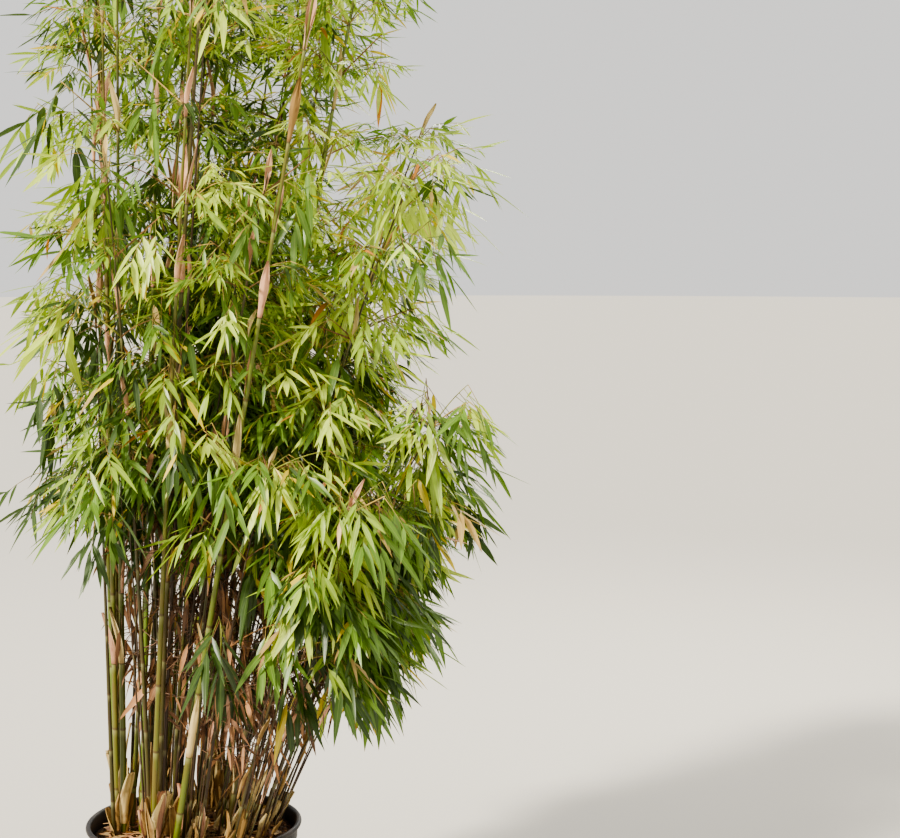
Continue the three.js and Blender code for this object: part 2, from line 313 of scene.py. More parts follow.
def find_blade(joint, heading, draw, cane, lines):
    """One blade by the rule of the solids, as (root, way, length), or None if none keeps to its space."""
    length = BLADE_LENGTH * (1 + spread(cane.index, draw, BLADE_LENGTH_SPARE))
    for attempt in range(1, BLADE_ATTEMPTS + 1):
        pick = draw + STEP_ATTEMPT * attempt
        swing = heading + math.radians(spread(cane.index, pick, BLADE_SWING_SPARE))
        extra = spread(cane.index, pick + STEP_DROOP, BLADE_DROOP_SPARE)
        way = direction(swing, -(BLADE_DROOP + (attempt - 1) * ATTEMPT_DROOP + extra))
        root = joint - way * BLADE_ROOT_PAST
        if is_apart(root, root + way * length, lines):
            if clump().in_own_space(blade_points(root, way, length), cane):
                return root, way, length
    return None


def twig_blades(end, way, heading, draw, cane, lines):
    """The blades of one twig: the first at its end, the rest on alternate sides of its last stretch."""
    blades = []
    for n in range(BLADES_PER_TWIG):
        side = 0 if n == 0 else (-1) ** n
        joint = end - way * (BLADE_FROM_END + n * BLADE_SPACING)
        found = find_blade(joint, heading + math.radians(side * BLADE_SWING), draw + n, cane, lines)
        if found:
            blades.append(found)
            lines.append((found[0], found[0] + found[1] * found[2]))
    return blades


def side_twig(share, heading, draw, cane, lines):
    """A side twig of the solids, as (start, end, blades), as long as fits, or None."""
    start = cane.point(share)
    way = direction(heading, TWIG_RISE + spread(cane.index, draw, TWIG_RISE_SPARE))
    spare = spread(cane.index, draw + STEP_TWIG_LENGTH, TWIG_SPARE)
    full = TWIG_LENGTH * (1 - TWIG_SHORTENS * share) * (1 + spare)
    for reach in TWIG_REACHES:
        middle = start + way * full * reach / 2
        end = start + way * full * reach
        if is_apart(middle, end, lines) and clump().in_own_space([middle, end], cane):
            blades = twig_blades(end, way, heading, draw + 1, cane, lines)
            if len(blades) >= FEWEST_BLADES:
                lines.append((start, end))
                return start, end, blades
    return None


def top_twigs(cane):
    """The heading of each joint of a leafy top, with the twigs and blades that the solids have there."""
    lines = []
    turn = 2 * math.pi * chance(cane.index, DRAW_TURN)
    joints = []
    for n, share in enumerate(cane.knots()):
        draw = DRAW_KNOTS + n * DRAWS_PER_KNOT
        heading = turn + n * GOLDEN_ANGLE + spread(cane.index, draw + STEP_KNOT_TURN, KNOT_TURN_SPARE)
        joints.append((float(share), heading, side_twig(float(share), heading, draw, cane, lines)))
    crown = twig_blades(cane.point(1), cane.way(1), turn, DRAW_CROWN, cane, lines)
    return joints, crown


# Finer culms: how far they stand from the others at foot and tip, and clear of the pot's wall
FEET_BESIDE = (0.016, 0.036)
TIPS_BESIDE = (0.02, 0.08)
FEET_FROM_WALL = 0.012
# Their heights and thicknesses as shares of those of the culms that they stand beside
FOLLOWER_HEIGHTS = (0.55, 0.96)
FOLLOWER_BARE = (1.0, 1.3)
MOST_BARE = 0.72
SHOOT_HEIGHTS = (0.86, 0.99)
SHOOT_THICKNESS = (0.72, 1.0)


def follower(rng, parent, number, share, thickness, bare):
    """A cane that comes up beside one of the solids' canes and rises a share of its height."""
    beside = direction(rng.uniform(0, 2 * math.pi), 0)
    start = parent.controls[0] + beside * rng.uniform(*FEET_BESIDE)
    start[:2] *= min(1, (SOIL_RADIUS - FEET_FROM_WALL) / math.hypot(start[0], start[1]))
    tip = parent.point(share) + beside * rng.uniform(*TIPS_BESIDE)
    bow = parent.point(share / 2) - lerp(parent.controls[0], parent.point(share), 0.5)
    controls = np.array([start, lerp(start, tip, 0.5) + bow, tip])
    length = float(np.linalg.norm(tip - start))
    return Cane(f"{parent.name}_{number}", parent.rank, controls, length, parent.foot * thickness, bare)


@functools.cache
def followers(per_cane, thin, thick):
    """Thinner leafy canes beside those of the solids, most of them where the clump leans to."""
    rng = np.random.default_rng(SEED_FOLLOWERS)
    made = []
    for parent in clump().canes:
        for n in range(per_cane - 1 if parent.rank == "tall" else per_cane + 2):
            share = rng.uniform(*FOLLOWER_HEIGHTS)
            bare = min(MOST_BARE, parent.bare * rng.uniform(*FOLLOWER_BARE) / share)
            made.append(follower(rng, parent, n, share, rng.uniform(thin, thick), bare))
    return made


SHOOT_BARE = 0.9
# The new culm that leans across the front of the clump
FRONT_FOOT = np.array([-0.02, -0.15, SOIL_TOP + SEAT_GAP])
FRONT_TIP = np.array([0.32, -0.42, 2.12])
FRONT_ARCH = np.array([-0.004, -0.06, 0.0])


@functools.cache
def front_culm():
    """The new culm that leans across the front."""
    controls = np.array([FRONT_FOOT, lerp(FRONT_FOOT, FRONT_TIP, 0.5) + FRONT_ARCH, FRONT_TIP])
    length = float(np.linalg.norm(FRONT_TIP - FRONT_FOOT))
    return Cane("front", "tall", controls, length, RANKS[0]["foot"], SHOOT_BARE)


@functools.cache
def shoots(count):
    """This year's culms: as thick as the tall ones, sheathed and with hardly a leaf up to their tips."""
    rng = np.random.default_rng(SEED_SHOOTS)
    parents = [cane for cane in clump().canes if cane.rank == "tall"]
    made = []
    for n in range(count):
        share = rng.uniform(*SHOOT_HEIGHTS)
        thickness = rng.uniform(*SHOOT_THICKNESS)
        made.append(follower(rng, parents[n % len(parents)], n, share, thickness, SHOOT_BARE))
    return [*made, front_culm()]


class Batch:
    """Vertices, faces and values on them, gathered for one joined piece."""

    def __init__(self):
        self.verts = []
        self.faces = {}
        self.values = {}
        self.count = 0

    def add(self, verts, faces, **values):
        """Adds vertices, with faces given as arrays of corners that count from the first of them."""
        verts = np.asarray(verts, float).reshape(-1, 3)
        for corners in faces:
            corners = np.asarray(corners)
            self.faces.setdefault(corners.shape[1], []).append(corners + self.count)
        for key, value in values.items():
            self.values.setdefault(key, []).append(np.broadcast_to(value, len(verts)))
        self.verts.append(verts)
        self.count += len(verts)

    def mesh(self, name):
        """The gathered faces as a smooth mesh, with each value as a point attribute."""
        mesh = bpy.data.meshes.new(name)
        verts = np.concatenate(self.verts)
        corners = []
        sizes = []
        for width, groups in self.faces.items():
            joined = np.concatenate(groups)
            corners.append(joined.ravel())
            sizes.append(np.full(len(joined), width))
        corners = np.concatenate(corners)
        sizes = np.concatenate(sizes)
        mesh.vertices.add(len(verts))
        mesh.vertices.foreach_set("co", verts.ravel())
        mesh.loops.add(len(corners))
        mesh.loops.foreach_set("vertex_index", corners.astype(np.int32))
        mesh.polygons.add(len(sizes))
        starts = np.concatenate([[0], np.cumsum(sizes)[:-1]])
        mesh.polygons.foreach_set("loop_start", starts.astype(np.int32))
        mesh.update(calc_edges=True)
        mesh.polygons.foreach_set("use_smooth", np.ones(len(sizes), bool))
        for key, groups in self.values.items():
            attribute = mesh.attributes.new(key, "FLOAT", "POINT")
            attribute.data.foreach_set("value", np.concatenate(groups).astype(np.float32))
        mesh.validate()
        return mesh

    def piece(self, name, material, slot, stands_for=()):
        """The gathered faces as a piece of the plant."""
        return piece_of(self.mesh(name), name, material, stands_for)


def link(made):
    """Puts an object into the scene."""
    bpy.context.scene.collection.objects.link(made)


def piece_of(mesh, name, material, stands_for=()):
    """A mesh as a piece that rides on the plant's body, in place of the solids that it stands for."""
    made = bpy.data.objects.new(name, mesh)
    link(made)
    mesh.materials.clear()
    mesh.materials.append(material)
    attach(made, BODY)
    if stands_for:
        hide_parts(*stands_for)
    return made


def add_tubes(batch, paths, radii, sides, **values):
    """Adds closed tubes along many paths of as many points each: paths (N, P, 3) and radii (N, P)."""
    paths = np.asarray(paths, float)
    count, points = paths.shape[:2]
    ways = unit(np.gradient(paths, axis=1))
    mean = np.abs(ways.mean(axis=1))
    reference = np.eye(3)[mean.argmin(axis=1)][:, None, :]
    across = unit(np.cross(ways, np.broadcast_to(reference, ways.shape)))
    facing = np.cross(across, ways)
    angles = np.arange(sides) * 2 * math.pi / sides
    ring = across[:, :, None, :] * np.cos(angles)[:, None] + facing[:, :, None, :] * np.sin(angles)[:, None]
    verts = paths[:, :, None, :] + ring * np.asarray(radii, float)[:, :, None, None]
    first = (np.arange(count) * points * sides)[:, None, None]
    row = (np.arange(points - 1) * sides)[None, :, None]
    side = np.arange(sides)[None, None, :]
    after = (side + 1) % sides
    low = first + row
    quads = np.stack([low + side, low + sides + side, low + sides + after, low + after], axis=-1)
    foot_cap = first[:, 0] + np.arange(sides)[None, :]
    tip_cap = first[:, 0] + (points - 1) * sides + np.arange(sides)[::-1][None, :]
    spans = {key: np.repeat(np.asarray(value).ravel(), sides) for key, value in values.items()}
    batch.add(verts, [quads.reshape(-1, 4), foot_cap, tip_cap], **spans)


# Rows of a leaf from its stalk to its tip: how far out, and how wide as a share of its width
LEAF_ROWS = np.array([0.0, 0.06, 0.19, 0.42, 0.74, 1.0])
LEAF_WIDTHS = np.array([0.07, 0.3, 0.88, 1.0, 0.58, 0.0])
LEAF_FOLD = 0.22
TOO_STEEP = 0.05


def add_leaves(batch, roots, ways, lengths, widths, droops, rolls, twists, tones):
    """Adds lance-shaped leaves, folded along the rib, that bend down towards their tips."""
    rows = len(LEAF_ROWS)
    count = len(roots)
    if count == 0:
        return
    level = np.cross(ways, UP)
    steep = np.linalg.norm(level, axis=1) < TOO_STEEP
    level[steep] = [1.0, 0.0, 0.0]
    level = unit(level)[:, None, :]
    middles = np.concatenate([[0.0], (LEAF_ROWS[1:] + LEAF_ROWS[:-1]) / 2])
    bends = ways[:, None, :] + DOWN * (droops[:, None] * middles)[:, :, None]
    steps = unit(bends) * (np.diff(LEAF_ROWS, prepend=0.0)[:, None] * lengths[:, None, None])
    centres = roots[:, None, :] + np.cumsum(steps, axis=1)
    tangents = unit(ways[:, None, :] + DOWN * (droops[:, None] * LEAF_ROWS)[:, :, None])
    up_face = np.cross(level, tangents)
    roll = (rolls[:, None] + twists[:, None] * LEAF_ROWS)[:, :, None]
    across = level * np.cos(roll) + up_face * np.sin(roll)
    facing = np.cross(across, tangents)
    half = (widths[:, None] / 2 * LEAF_WIDTHS)[:, :, None]
    left = centres - across * half + facing * half * LEAF_FOLD
    right = centres + across * half + facing * half * LEAF_FOLD
    strips = np.stack([left, centres, right], axis=2)[:, : rows - 1].reshape(count, -1, 3)
    verts = np.concatenate([strips, centres[:, -1:, :]], axis=1)
    per_leaf = verts.shape[1]
    first = (np.arange(count) * per_leaf)[:, None, None]
    low = (np.arange(rows - 2) * 3)[None, :, None]
    quads = [first + low + np.array(corners) for corners in ([0, 1, 4, 3], [1, 2, 5, 4])]
    last = (rows - 2) * 3
    tips = [first[:, 0] + last + np.array(corners) for corners in ([0, 1, 3], [1, 2, 3])]
    along = np.concatenate([np.repeat(LEAF_ROWS[:-1], 3), [1.0]])
    side = np.concatenate([np.tile([-1.0, 0.0, 1.0], rows - 1), [0.0]])
    faces = [np.concatenate(quads).reshape(-1, 4), np.concatenate(tips)]
    tone = np.repeat(tones, per_leaf)
    batch.add(verts, faces, along=np.tile(along, count), across=np.tile(side, count), tone=tone)


def add_revolved(batch, profile, segments, wobble=None, **values):
    """Adds a closed form turned about the upright axis, from its lowest middle point to its highest."""
    profile = np.asarray(profile, float)
    angles = np.arange(segments) * 2 * math.pi / segments
    rings = profile[1:-1]
    radius = np.repeat(rings[:, :1], segments, axis=1)
    height = np.repeat(rings[:, 1:], segments, axis=1)
    if wobble:
        radius, height = wobble(radius, height, angles[None, :])
    verts = np.stack([radius * np.cos(angles), radius * np.sin(angles), height], axis=-1).reshape(-1, 3)
    ends = [[0, 0, profile[0, 1]], [0, 0, profile[-1, 1]]]
    side = np.arange(segments)
    after = (side + 1) % segments
    rows = (np.arange(len(rings) - 1) * segments)[:, None]
    quads = np.stack([rows + side, rows + after, rows + segments + after, rows + segments + side], axis=-1)
    low_middle = len(verts)
    last = (len(rings) - 1) * segments
    low_cap = np.stack([np.full(segments, low_middle), after, side], axis=-1)
    high_cap = np.stack([np.full(segments, low_middle + 1), last + side, last + after], axis=-1)
    batch.add(np.concatenate([verts, ends]), [quads.reshape(-1, 4), low_cap, high_cap], **values)


def srgb(red, green, blue):
    """A colour as the eye sees it, from 0 to 255, as the shader's values."""
    shares = (red / 255, green / 255, blue / 255)
    return tuple(c / 12.92 if c <= 0.04045 else ((c + 0.055) / 1.055) ** 2.4 for c in shares)


def looks(parts, table):
    """The colours of several looks, each as a dictionary by the names of their parts."""
    return {name: {part: srgb(*rgb) for part, rgb in zip(parts, row)} for name, row in table.items()}


NOISE_SPAN = (0.3, 0.7)
COLOUR_AND_HEIGHT = {"Color": "Color", "Height": "Float"}


class Nodes:
    """Adds nodes to a node tree, each with its settings, values and links in one call."""

    def __init__(self, tree):
        self.tree = tree

    def add(self, kind, inputs=None, **settings):
        made = self.tree.nodes.new(kind if kind.startswith("Node") else f"ShaderNode{kind}")
        for key, value in settings.items():
            setattr(made, key, value)
        self.fill(made, inputs or {})
        return made

    def fill(self, made, inputs):
        """Links or sets some of a node's inputs."""
        for socket, value in inputs.items():
            self.put(made.inputs[socket], value)

    def put(self, socket, value):
        """Links an output to a socket, or sets the socket to a value."""
        if isinstance(value, bpy.types.NodeSocket):
            self.tree.links.new(value, socket)
        elif socket.type == "RGBA" and len(value) == 3:
            socket.default_value = (*value, 1.0)
        else:
            socket.default_value = value

    def group(self, tree, inputs):
        return self.add("Group", inputs, node_tree=tree)

    def grain(self, across, along, low, high):
        """A mask of streaks or patches, by its scales and by the noise where it starts and is full."""
        inputs = {"Across": across, "Along": along, "Low": low, "High": high}
        return self.group(grain_group(), inputs).outputs[0]

    def math(self, operation, first, second=0.0):
        return self.add("Math", {0: first, 1: second}, operation=operation).outputs[0]

    def plus(self, first, second):
        return self.math("ADD", first, second)

    def times(self, first, second):
        return self.math("MULTIPLY", first, second)

    def clamp(self, value):
        return self.add("Clamp", {0: value}).outputs[0]

    def ramp(self, value, low, high, to_low=0.0, to_high=1.0):
        """Eases a value from one range to another."""
        inputs = {"Value": value, "From Min": low, "From Max": high, "To Min": to_low, "To Max": to_high}
        return self.add("MapRange", inputs, interpolation_type="SMOOTHSTEP").outputs[0]

    def mix(self, share, first, second, blend="MIX"):
        inputs = {0: share, 6: first, 7: second}
        return self.add("Mix", inputs, data_type="RGBA", blend_type=blend).outputs[2]

    def shaded(self, colour, shade):
        """A colour made darker or lighter by a shade."""
        return self.mix(1.0, colour, self.vector(shade, shade, shade), "MULTIPLY")

    def value(self, name):
        """A value that a mesh carries on its vertices."""
        return self.add("Attribute", attribute_name=name).outputs["Fac"]

    def vector(self, x, y, z):
        return self.add("CombineXYZ", {0: x, 1: y, 2: z}).outputs[0]

    def noise(self, vector, scale, detail=2.0):
        inputs = {"Vector": vector, "Scale": scale, "Detail": detail}
        return self.add("TexNoise", inputs).outputs["Fac"]

    def swing(self, noise, to_low, to_high):
        """Stretches noise, which seldom leaves NOISE_SPAN, over a range."""
        return self.ramp(noise, *NOISE_SPAN, to_low, to_high)


def shader_group(name, inputs, outputs):
    """An empty shader node group with its sockets, as (tree, nodes, inlet, outlet)."""
    tree = bpy.data.node_groups.new(name, "ShaderNodeTree")
    for socket, (kind, value) in inputs.items():
        made = tree.interface.new_socket(socket, in_out="INPUT", socket_type=f"NodeSocket{kind}")
        made.default_value = (*value, 1.0) if kind == "Color" else value
    for socket, kind in outputs.items():
        tree.interface.new_socket(socket, in_out="OUTPUT", socket_type=f"NodeSocket{kind}")
    nodes = Nodes(tree)
    return tree, nodes, nodes.add("NodeGroupInput"), nodes.add("NodeGroupOutput")


@functools.cache
def grain_group():
    """Soft streaks or patches: a mask from noise that is stretched along the upright axis."""
    defaults = {"Across": 40.0, "Along": 40.0, "Low": 0.4, "High": 0.6}
    inputs = {name: ("Float", value) for name, value in defaults.items()}
    tree, nodes, inlet, outlet = shader_group("Grain", inputs, {"Mask": "Float"})
    place = nodes.add("TexCoord").outputs["Object"]
    across = inlet.outputs["Across"]
    stretch = nodes.vector(across, across, inlet.outputs["Along"])
    stretched = nodes.add("VectorMath", {0: place, 1: stretch}, operation="MULTIPLY").outputs[0]
    mask = nodes.ramp(nodes.noise(stretched, 1.0, 4.0), inlet.outputs["Low"], inlet.outputs["High"])
    nodes.fill(outlet, {"Mask": mask})
    return tree


# A leaf's rib by its half width, its dry tip by its length, and its noises: stretch, scale and shades
RIB_EDGE = (0.12, 0.03)
RIB_SHARE = 0.55
TIP_RAGGED = 0.06
TIP_FRINGE = 0.09
VEIN_STRETCH = 9.0
VEIN_SCALE = 1.6
VEIN_SHADES = (0.88, 1.1)
VEIN_RELIEF = 0.4
PATCH_STRETCH = 5.0
PATCH_SCALE = 1.1
PATCH_SHADES = (0.9, 1.1)
LEAF_SHIFT = 37.0


@functools.cache
def leaf_group():
    """A leaf's colour and relief: a pale rib, fine veins along it, a tone of its own and a dry tip."""
    inputs = {
        "Blade": ("Color", srgb(120, 158, 45)),
        "Rib": ("Color", srgb(200, 210, 130)),
        "Tip": ("Color", srgb(190, 160, 90)),
        "Tip Start": ("Float", 0.9),
        "Variation": ("Float", 0.3),
    }
    tree, nodes, inlet, outlet = shader_group("Leaf blade", inputs, COLOUR_AND_HEIGHT)
    along, across, tone = (nodes.value(name) for name in ("along", "across", "tone"))
    rib = nodes.ramp(nodes.math("ABSOLUTE", across), *RIB_EDGE)
    shift = nodes.times(tone, LEAF_SHIFT)
    veins = nodes.noise(nodes.vector(nodes.times(across, VEIN_STRETCH), along, shift), VEIN_SCALE)
    patches = nodes.noise(nodes.vector(across, nodes.times(along, PATCH_STRETCH), shift), PATCH_SCALE)
    reach = inlet.outputs["Variation"]
    shade = nodes.ramp(tone, 0.0, 1.0, nodes.math("SUBTRACT", 1.0, reach), nodes.plus(1.0, reach))
    veined = nodes.times(shade, nodes.swing(veins, *VEIN_SHADES))
    patched = nodes.times(veined, nodes.swing(patches, *PATCH_SHADES))
    blade = nodes.shaded(inlet.outputs["Blade"], patched)
    ribbed = nodes.mix(nodes.times(rib, RIB_SHARE), blade, inlet.outputs["Rib"])
    ragged = nodes.plus(along, nodes.swing(patches, -TIP_RAGGED, TIP_RAGGED))
    start = inlet.outputs["Tip Start"]
    dry = nodes.ramp(ragged, start, nodes.plus(start, TIP_FRINGE))
    colour = nodes.mix(dry, ribbed, inlet.outputs["Tip"])
    nodes.fill(outlet, {"Color": colour, "Height": nodes.plus(nodes.times(veins, VEIN_RELIEF), rib)})
    return tree


# A culm's grains: scales across and along, and the noise where each starts and is full
CULM_STREAKS = (420.0, 9.0, 0.36, 0.66)
CULM_PATCHES = (45.0, 14.0, 0.42, 0.66)
CULM_SPECKS = (330.0, 170.0, 0.62, 0.7)
# Its scar and bloom, by the share of the way from joint to joint
SCAR_EDGE = (0.03, 0.008)
SCAR_SHARE = 0.8
BLOOM_EDGE = (0.84, 0.97)
BLOOM_SHARE = 0.26
# How far patches, streaks and specks age its colour, and what they add to its roughness and relief
PATCH_AGE = 0.5
STREAK_AGE = 0.3
SPECK_SHARE = 0.45
CULM_ROUGHNESS = 0.34
BLOOM_ROUGHENS = 0.5
PATCH_ROUGHENS = 0.16
STREAK_RELIEF = 0.35


@functools.cache
def culm_group():
    """A culm's skin: streaks from young to aged, a pale bloom below each joint and a dark scar at it."""
    inputs = {
        "Young": ("Color", srgb(120, 132, 40)),
        "Aged": ("Color", srgb(110, 92, 38)),
        "Bloom": ("Color", srgb(176, 176, 120)),
        "Scar": ("Color", srgb(78, 56, 26)),
        "Ageing": ("Float", 0.3),
    }
    outputs = {**COLOUR_AND_HEIGHT, "Roughness": "Float"}
    tree, nodes, inlet, outlet = shader_group("Culm skin", inputs, outputs)
    place, tone = nodes.value("place"), nodes.value("tone")
    part = nodes.math("FRACT", place)
    nearest = nodes.math("MINIMUM", part, nodes.math("SUBTRACT", 1.0, part))
    scar = nodes.ramp(nearest, *SCAR_EDGE)
    bloom = nodes.times(nodes.ramp(part, *BLOOM_EDGE), BLOOM_SHARE)
    streaks, patches, specks = (nodes.grain(*grain) for grain in (CULM_STREAKS, CULM_PATCHES, CULM_SPECKS))
    wear = nodes.plus(nodes.times(patches, PATCH_AGE), nodes.times(streaks, STREAK_AGE))
    age = nodes.plus(inlet.outputs["Ageing"], nodes.math("SUBTRACT", tone, 0.5))
    aged = nodes.mix(nodes.clamp(nodes.plus(wear, age)), inlet.outputs["Young"], inlet.outputs["Aged"])
    speckled = nodes.mix(nodes.times(specks, SPECK_SHARE), aged, inlet.outputs["Scar"])
    bloomed = nodes.mix(bloom, speckled, inlet.outputs["Bloom"])
    colour = nodes.mix(nodes.times(scar, SCAR_SHARE), bloomed, inlet.outputs["Scar"])
    rough = nodes.plus(nodes.times(bloom, BLOOM_ROUGHENS), nodes.times(patches, PATCH_ROUGHENS))
    height = nodes.math("SUBTRACT", nodes.times(streaks, STREAK_RELIEF), scar)
    roughness = nodes.plus(rough, CULM_ROUGHNESS)
    nodes.fill(outlet, {"Color": colour, "Roughness": roughness, "Height": height})
    return tree


# A papery sheath's noises: stretch, (scale, detail) and the shift from one sheath to the next
RIBS_STRETCH = 7.0
RIBS_NOISE = (2.2, 3.0)
RIBS_SHADES = (0.78, 1.12)
BLOTS_STRETCH = 2.5
BLOTS_NOISE = (1.7, 3.0)
PAPER_SHIFT = 31.0
# Its ramps, as (from, to, share at from, share at to)
TONE_SHADES = (0.0, 1.0, 0.72, 1.15)
PALE_EDGE = (0.62, 1.0, 0.0, 0.7)
FLECKS = (0.55, 0.72, 0.0, 0.6)
BROWN_FOOT = (0.1, 0.0, 0.0, 0.6)
BROWN_TIP = (0.88, 1.0, 0.0, 0.5)


@functools.cache
def paper_group():
    """A papery sheath's colour and relief: fine ribs along it, paler edges, brown flecks and a dry tip."""
    inputs = {
        "Face": ("Color", srgb(196, 160, 104)),
        "Edge": ("Color", srgb(222, 200, 152)),
        "Fleck": ("Color", srgb(112, 72, 42)),
    }
    tree, nodes, inlet, outlet = shader_group("Papery sheath", inputs, COLOUR_AND_HEIGHT)
    along, across, tone = (nodes.value(name) for name in ("along", "across", "tone"))
    shift = nodes.times(tone, PAPER_SHIFT)
    ribs = nodes.noise(nodes.vector(nodes.times(across, RIBS_STRETCH), along, shift), *RIBS_NOISE)
    blots = nodes.noise(nodes.vector(across, nodes.times(along, BLOTS_STRETCH), shift), *BLOTS_NOISE)
    shade = nodes.times(nodes.ramp(tone, *TONE_SHADES), nodes.swing(ribs, *RIBS_SHADES))
    face = nodes.shaded(inlet.outputs["Face"], shade)
    edge = nodes.ramp(nodes.math("ABSOLUTE", across), *PALE_EDGE)
    edged = nodes.mix(edge, face, inlet.outputs["Edge"])
    ends = nodes.math("MAXIMUM", nodes.ramp(along, *BROWN_FOOT), nodes.ramp(along, *BROWN_TIP))
    browned = nodes.math("MAXIMUM", nodes.ramp(blots, *FLECKS), ends)
    colour = nodes.mix(browned, edged, inlet.outputs["Fleck"])
    nodes.fill(outlet, {"Color": colour, "Height": ribs})
    return tree


def new_material(name):
    """A material with an output and a principled shader, as (material, nodes, output, shader)."""
    material = bpy.data.materials.new(name)
    material.use_nodes = True
    material.node_tree.nodes.clear()
    nodes = Nodes(material.node_tree)
    output = nodes.add("OutputMaterial")
    shader = nodes.add("BsdfPrincipled")
    nodes.put(output.inputs["Surface"], shader.outputs[0])
    return material, nodes, output, shader


def add_bump(nodes, shader, height, relief):
    """Gives a shader relief, as (distance, strength), from a height that changes over the surface."""
    distance, strength = relief
    bump = nodes.add("Bump", {"Height": height, "Distance": distance, "Strength": strength})
    nodes.put(shader.inputs["Normal"], bump.outputs[0])


def let_light_through(nodes, output, shader, colour, share):
    """Mixes a thin side that light comes through, of a plain colour, into a shader."""
    thin = nodes.add("BsdfTranslucent", {"Color": colour})
    mixed = nodes.add("MixShader", {0: share, 1: shader.outputs[0], 2: thin.outputs[0]})
    nodes.put(output.inputs["Surface"], mixed.outputs[0])


# How much more of each colour comes through a leaf than its face shows
LEAF_GLOW = (1.45, 1.5, 0.85)
LEAF_SHEEN = 0.6
LEAF_RELIEF = (0.0004, 0.4)
CULM_WAX = {"Specular IOR Level": 0.5, "Coat Weight": 0.12, "Coat Roughness": 0.25}
CULM_RELIEF = (0.0003, 0.5)
PAPER_FINISH = {"Roughness": 0.62, "Specular IOR Level": 0.3}
PAPER_RELIEF = (0.0006, 0.7)
PAPER_THINNESS = 0.16


def leaf_material(name, blade, rib, tip, tip_start, variation, through, roughness):
    material, nodes, output, shader = new_material(name)
    inputs = {"Blade": blade, "Rib": rib, "Tip": tip, "Tip Start": tip_start, "Variation": variation}
    look = nodes.group(leaf_group(), inputs)
    colour = look.outputs["Color"]
    nodes.fill(shader, {"Base Color": colour, "Roughness": roughness, "Specular IOR Level": LEAF_SHEEN})
    add_bump(nodes, shader, look.outputs["Height"], LEAF_RELIEF)
    glow = tuple(min(1.0, part * gain) for part, gain in zip(blade, LEAF_GLOW))
    let_light_through(nodes, output, shader, glow, through)
    return material


def culm_material(name, young, aged, ageing):
    material, nodes, _, shader = new_material(name)
    look = nodes.group(culm_group(), {"Young": young, "Aged": aged, "Ageing": ageing})
    grown = {"Base Color": look.outputs["Color"], "Roughness": look.outputs["Roughness"]}
    nodes.fill(shader, {**grown, **CULM_WAX})
    add_bump(nodes, shader, look.outputs["Height"], CULM_RELIEF)
    return material


def sheath_material(name, face, edge, fleck):
    material, nodes, output, shader = new_material(name)
    look = nodes.group(paper_group(), {"Face": face, "Edge": edge, "Fleck": fleck})
    nodes.fill(shader, {"Base Color": look.outputs["Color"], **PAPER_FINISH})
    add_bump(nodes, shader, look.outputs["Height"], PAPER_RELIEF)
    let_light_through(nodes, output, shader, face, PAPER_THINNESS)
    return material


TWIG_STREAKS = (500.0, 60.0, 0.35, 0.65)
TWIG_PATCHES = (30.0, 30.0, 0.4, 0.6)
TWIG_ROUGHNESS = (0.0, 1.0, 0.42, 0.62)
TWIG_RELIEF = (0.0003, 0.5)


def twig_material(name, light, dark):
    """Fine bark or dry stalk, streaked along and patched."""
    material, nodes, _, shader = new_material(name)
    streaks = nodes.grain(*TWIG_STREAKS)
    share = nodes.times(nodes.plus(streaks, nodes.grain(*TWIG_PATCHES)), 0.5)
    rough = nodes.ramp(streaks, *TWIG_ROUGHNESS)
    nodes.fill(shader, {"Base Color": nodes.mix(share, light, dark), "Roughness": rough})
    add_bump(nodes, shader, streaks, TWIG_RELIEF)
    return material


CRUMBS_SPAN = (0.35, 0.68)
FINER_GRAIN = 4
EARTH_ROUGHNESS = (0.0, 1.0, 0.8, 0.97)
EARTH_SHEEN = 0.25
EARTH_STRENGTH = 0.9


def earth_material(name, light, dark, grain, depth):
    """Crumbly, dull stuff: soil and bark."""
    material, nodes, _, shader = new_material(name)
    finer = grain * FINER_GRAIN
    crumbs = nodes.grain(grain, grain, *CRUMBS_SPAN)
    fine = nodes.grain(finer, finer, *NOISE_SPAN)
    share = nodes.times(nodes.plus(crumbs, fine), 0.5)
    rough = nodes.ramp(fine, *EARTH_ROUGHNESS)
    colour = nodes.mix(share, dark, light)
    nodes.fill(shader, {"Base Color": colour, "Roughness": rough, "Specular IOR Level": EARTH_SHEEN})
    add_bump(nodes, shader, share, (depth, EARTH_STRENGTH))
    return material


POT_SHEEN = 0.34
POT_ROUGHNESS = (0.0, 0.8, 0.42, 0.86)
POT_RELIEF = (0.0002, 0.6)
POT_STREAK_RELIEF = 0.6
POT_PATCHES = (19.0, 15.0, 0.34, 0.8)
POT_STREAKS = (130.0, 7.0, 0.5, 0.8)
POT_SPECKS = (420.0, 420.0, 0.6, 0.72)
POT_PITS = (900.0, 900.0, 0.3, 0.7)
# Dust by height, as (from, to, share at from, share at to), and how thick it lies in each grain
FOOT_DUST = (POT_HEIGHT * 0.45, 0.0, 0.1, 0.8)
RIM_DUST = (POT_HEIGHT * 0.9, POT_HEIGHT, 0.0, 0.5)
PATCH_DUST = 0.55
STREAK_DUST = 0.07
SPECK_DUST = 0.16


